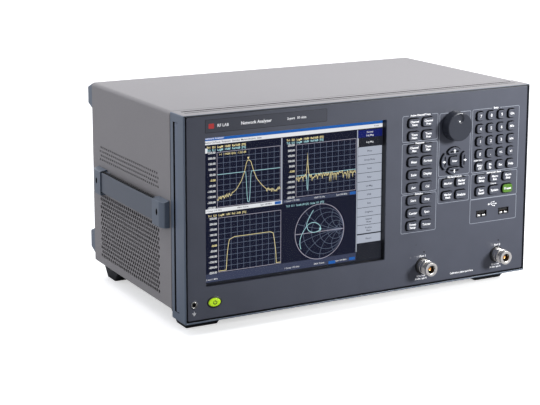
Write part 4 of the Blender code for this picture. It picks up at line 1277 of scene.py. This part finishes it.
def camera_split(tree, lighting, seen):
    """What the camera sees, and what only gives light, as one shader."""
    direct = add_node(tree, "LightPath", {}, "Is Camera Ray")
    return add_node(tree, "MixShader", {0: direct, 1: lighting, 2: seen})


def build_floor():
    mesh = bpy.data.meshes.new("floor")
    size = 6
    mesh.from_pydata([(x, y, 0) for x, y in rect(-size, size, -size, size)], [], [(0, 1, 2, 3)])
    paper = surface("floor_paper", (0.86, 0.86, 0.86), 0.9, vary=0.01, grain=40, glow=0.66)
    tree = paper.node_tree
    shader = tree.nodes["Principled BSDF"]
    shader.inputs["Specular IOR Level"].default_value = 0
    bounce = add_node(tree, "BsdfDiffuse", {"Color": (0.42, 0.42, 0.43, 1)})
    feed(tree, tree.nodes["Material Output"], {"Surface": camera_split(tree, bounce, shader.outputs[0])})
    mesh.materials.append(paper)
    link(bpy.data.objects.new("floor", mesh))


def build_world():
    """A white studio to the sides and behind, darker in front."""
    world = bpy.data.worlds.new("studio")
    bpy.context.scene.world = world
    world.use_nodes = True
    tree = world.node_tree
    around = tree.nodes["Background"]
    where = add_node(tree, "TexCoord", {}, "Generated")
    along = add_node(tree, "SeparateXYZ", {0: where}, "Y")
    feed(tree, around, {"Color": (0.93, 0.96, 1.05, 1),
                        "Strength": stretch(tree, along, -0.7, 0.1, 0.07, 1.04)})
    white = add_node(tree, "Background", {"Strength": 1})
    feed(tree, tree.nodes["World Output"], {"Surface": camera_split(tree, around.outputs[0], white)})


def lamp(name, kind, at, target, power):
    light = bpy.data.lights.new(name, kind)
    light.energy = power
    obj = link(bpy.data.objects.new(name, light))
    obj.location = at
    way = Vector(target) - Vector(at)
    obj.rotation_euler = way.to_track_quat('-Z', 'Y').to_euler()
    return light


def build_lamps():
    overhead = lamp("overhead_sky", 'SUN', (0.15, 0.35, 2), (0, 0, 0.1), 1.1)
    overhead.color = (1, 0.97, 0.9)
    overhead.angle = math.radians(70)
    spot = lamp("front_right_lamp", 'SPOT', (1.1, -1.4, 0.75), (0.25, -0.12, 0.21), 190)
    spot.shadow_soft_size = 0.25
    spot.spot_size = math.radians(30)
    spot.spot_blend = 1


def build_camera():
    """The camera looks down at the instrument from its front left."""
    azimuth = math.radians(26.974)
    elevation = math.radians(10.667)
    roll = math.radians(-0.23)
    distance = 1.43237
    target = (-0.16546, -0.1178, 0.2134)
    turn = (Matrix.Rotation(-azimuth, 4, 'Z') @ Matrix.Rotation(math.pi / 2 - elevation, 4, 'X')
            @ Matrix.Rotation(roll, 4, 'Z'))
    camera = bpy.data.cameras.new("camera")
    camera.lens = 96.226
    camera.sensor_width = 36
    camera.shift_x = 0.0811
    camera.shift_y = -0.1431
    camera.clip_start = 0.05
    obj = link(bpy.data.objects.new("camera", camera))
    obj.matrix_world = Matrix.Translation(target) @ turn @ Matrix.Translation((0, 0, distance))
    bpy.context.scene.camera = obj
    bpy.context.scene.view_settings.view_transform = 'Standard'


build_frame()
build_cover()
build_base()
build_panel()
build_keys()
build_knob()
build_print()
build_standby()
build_sockets()
build_screen()
for handle_side in ("left", "right"):
    build_handle(handle_side)
build_rear()
build_feet_and_modules()
build_floor()
build_world()
build_lamps()
build_camera()
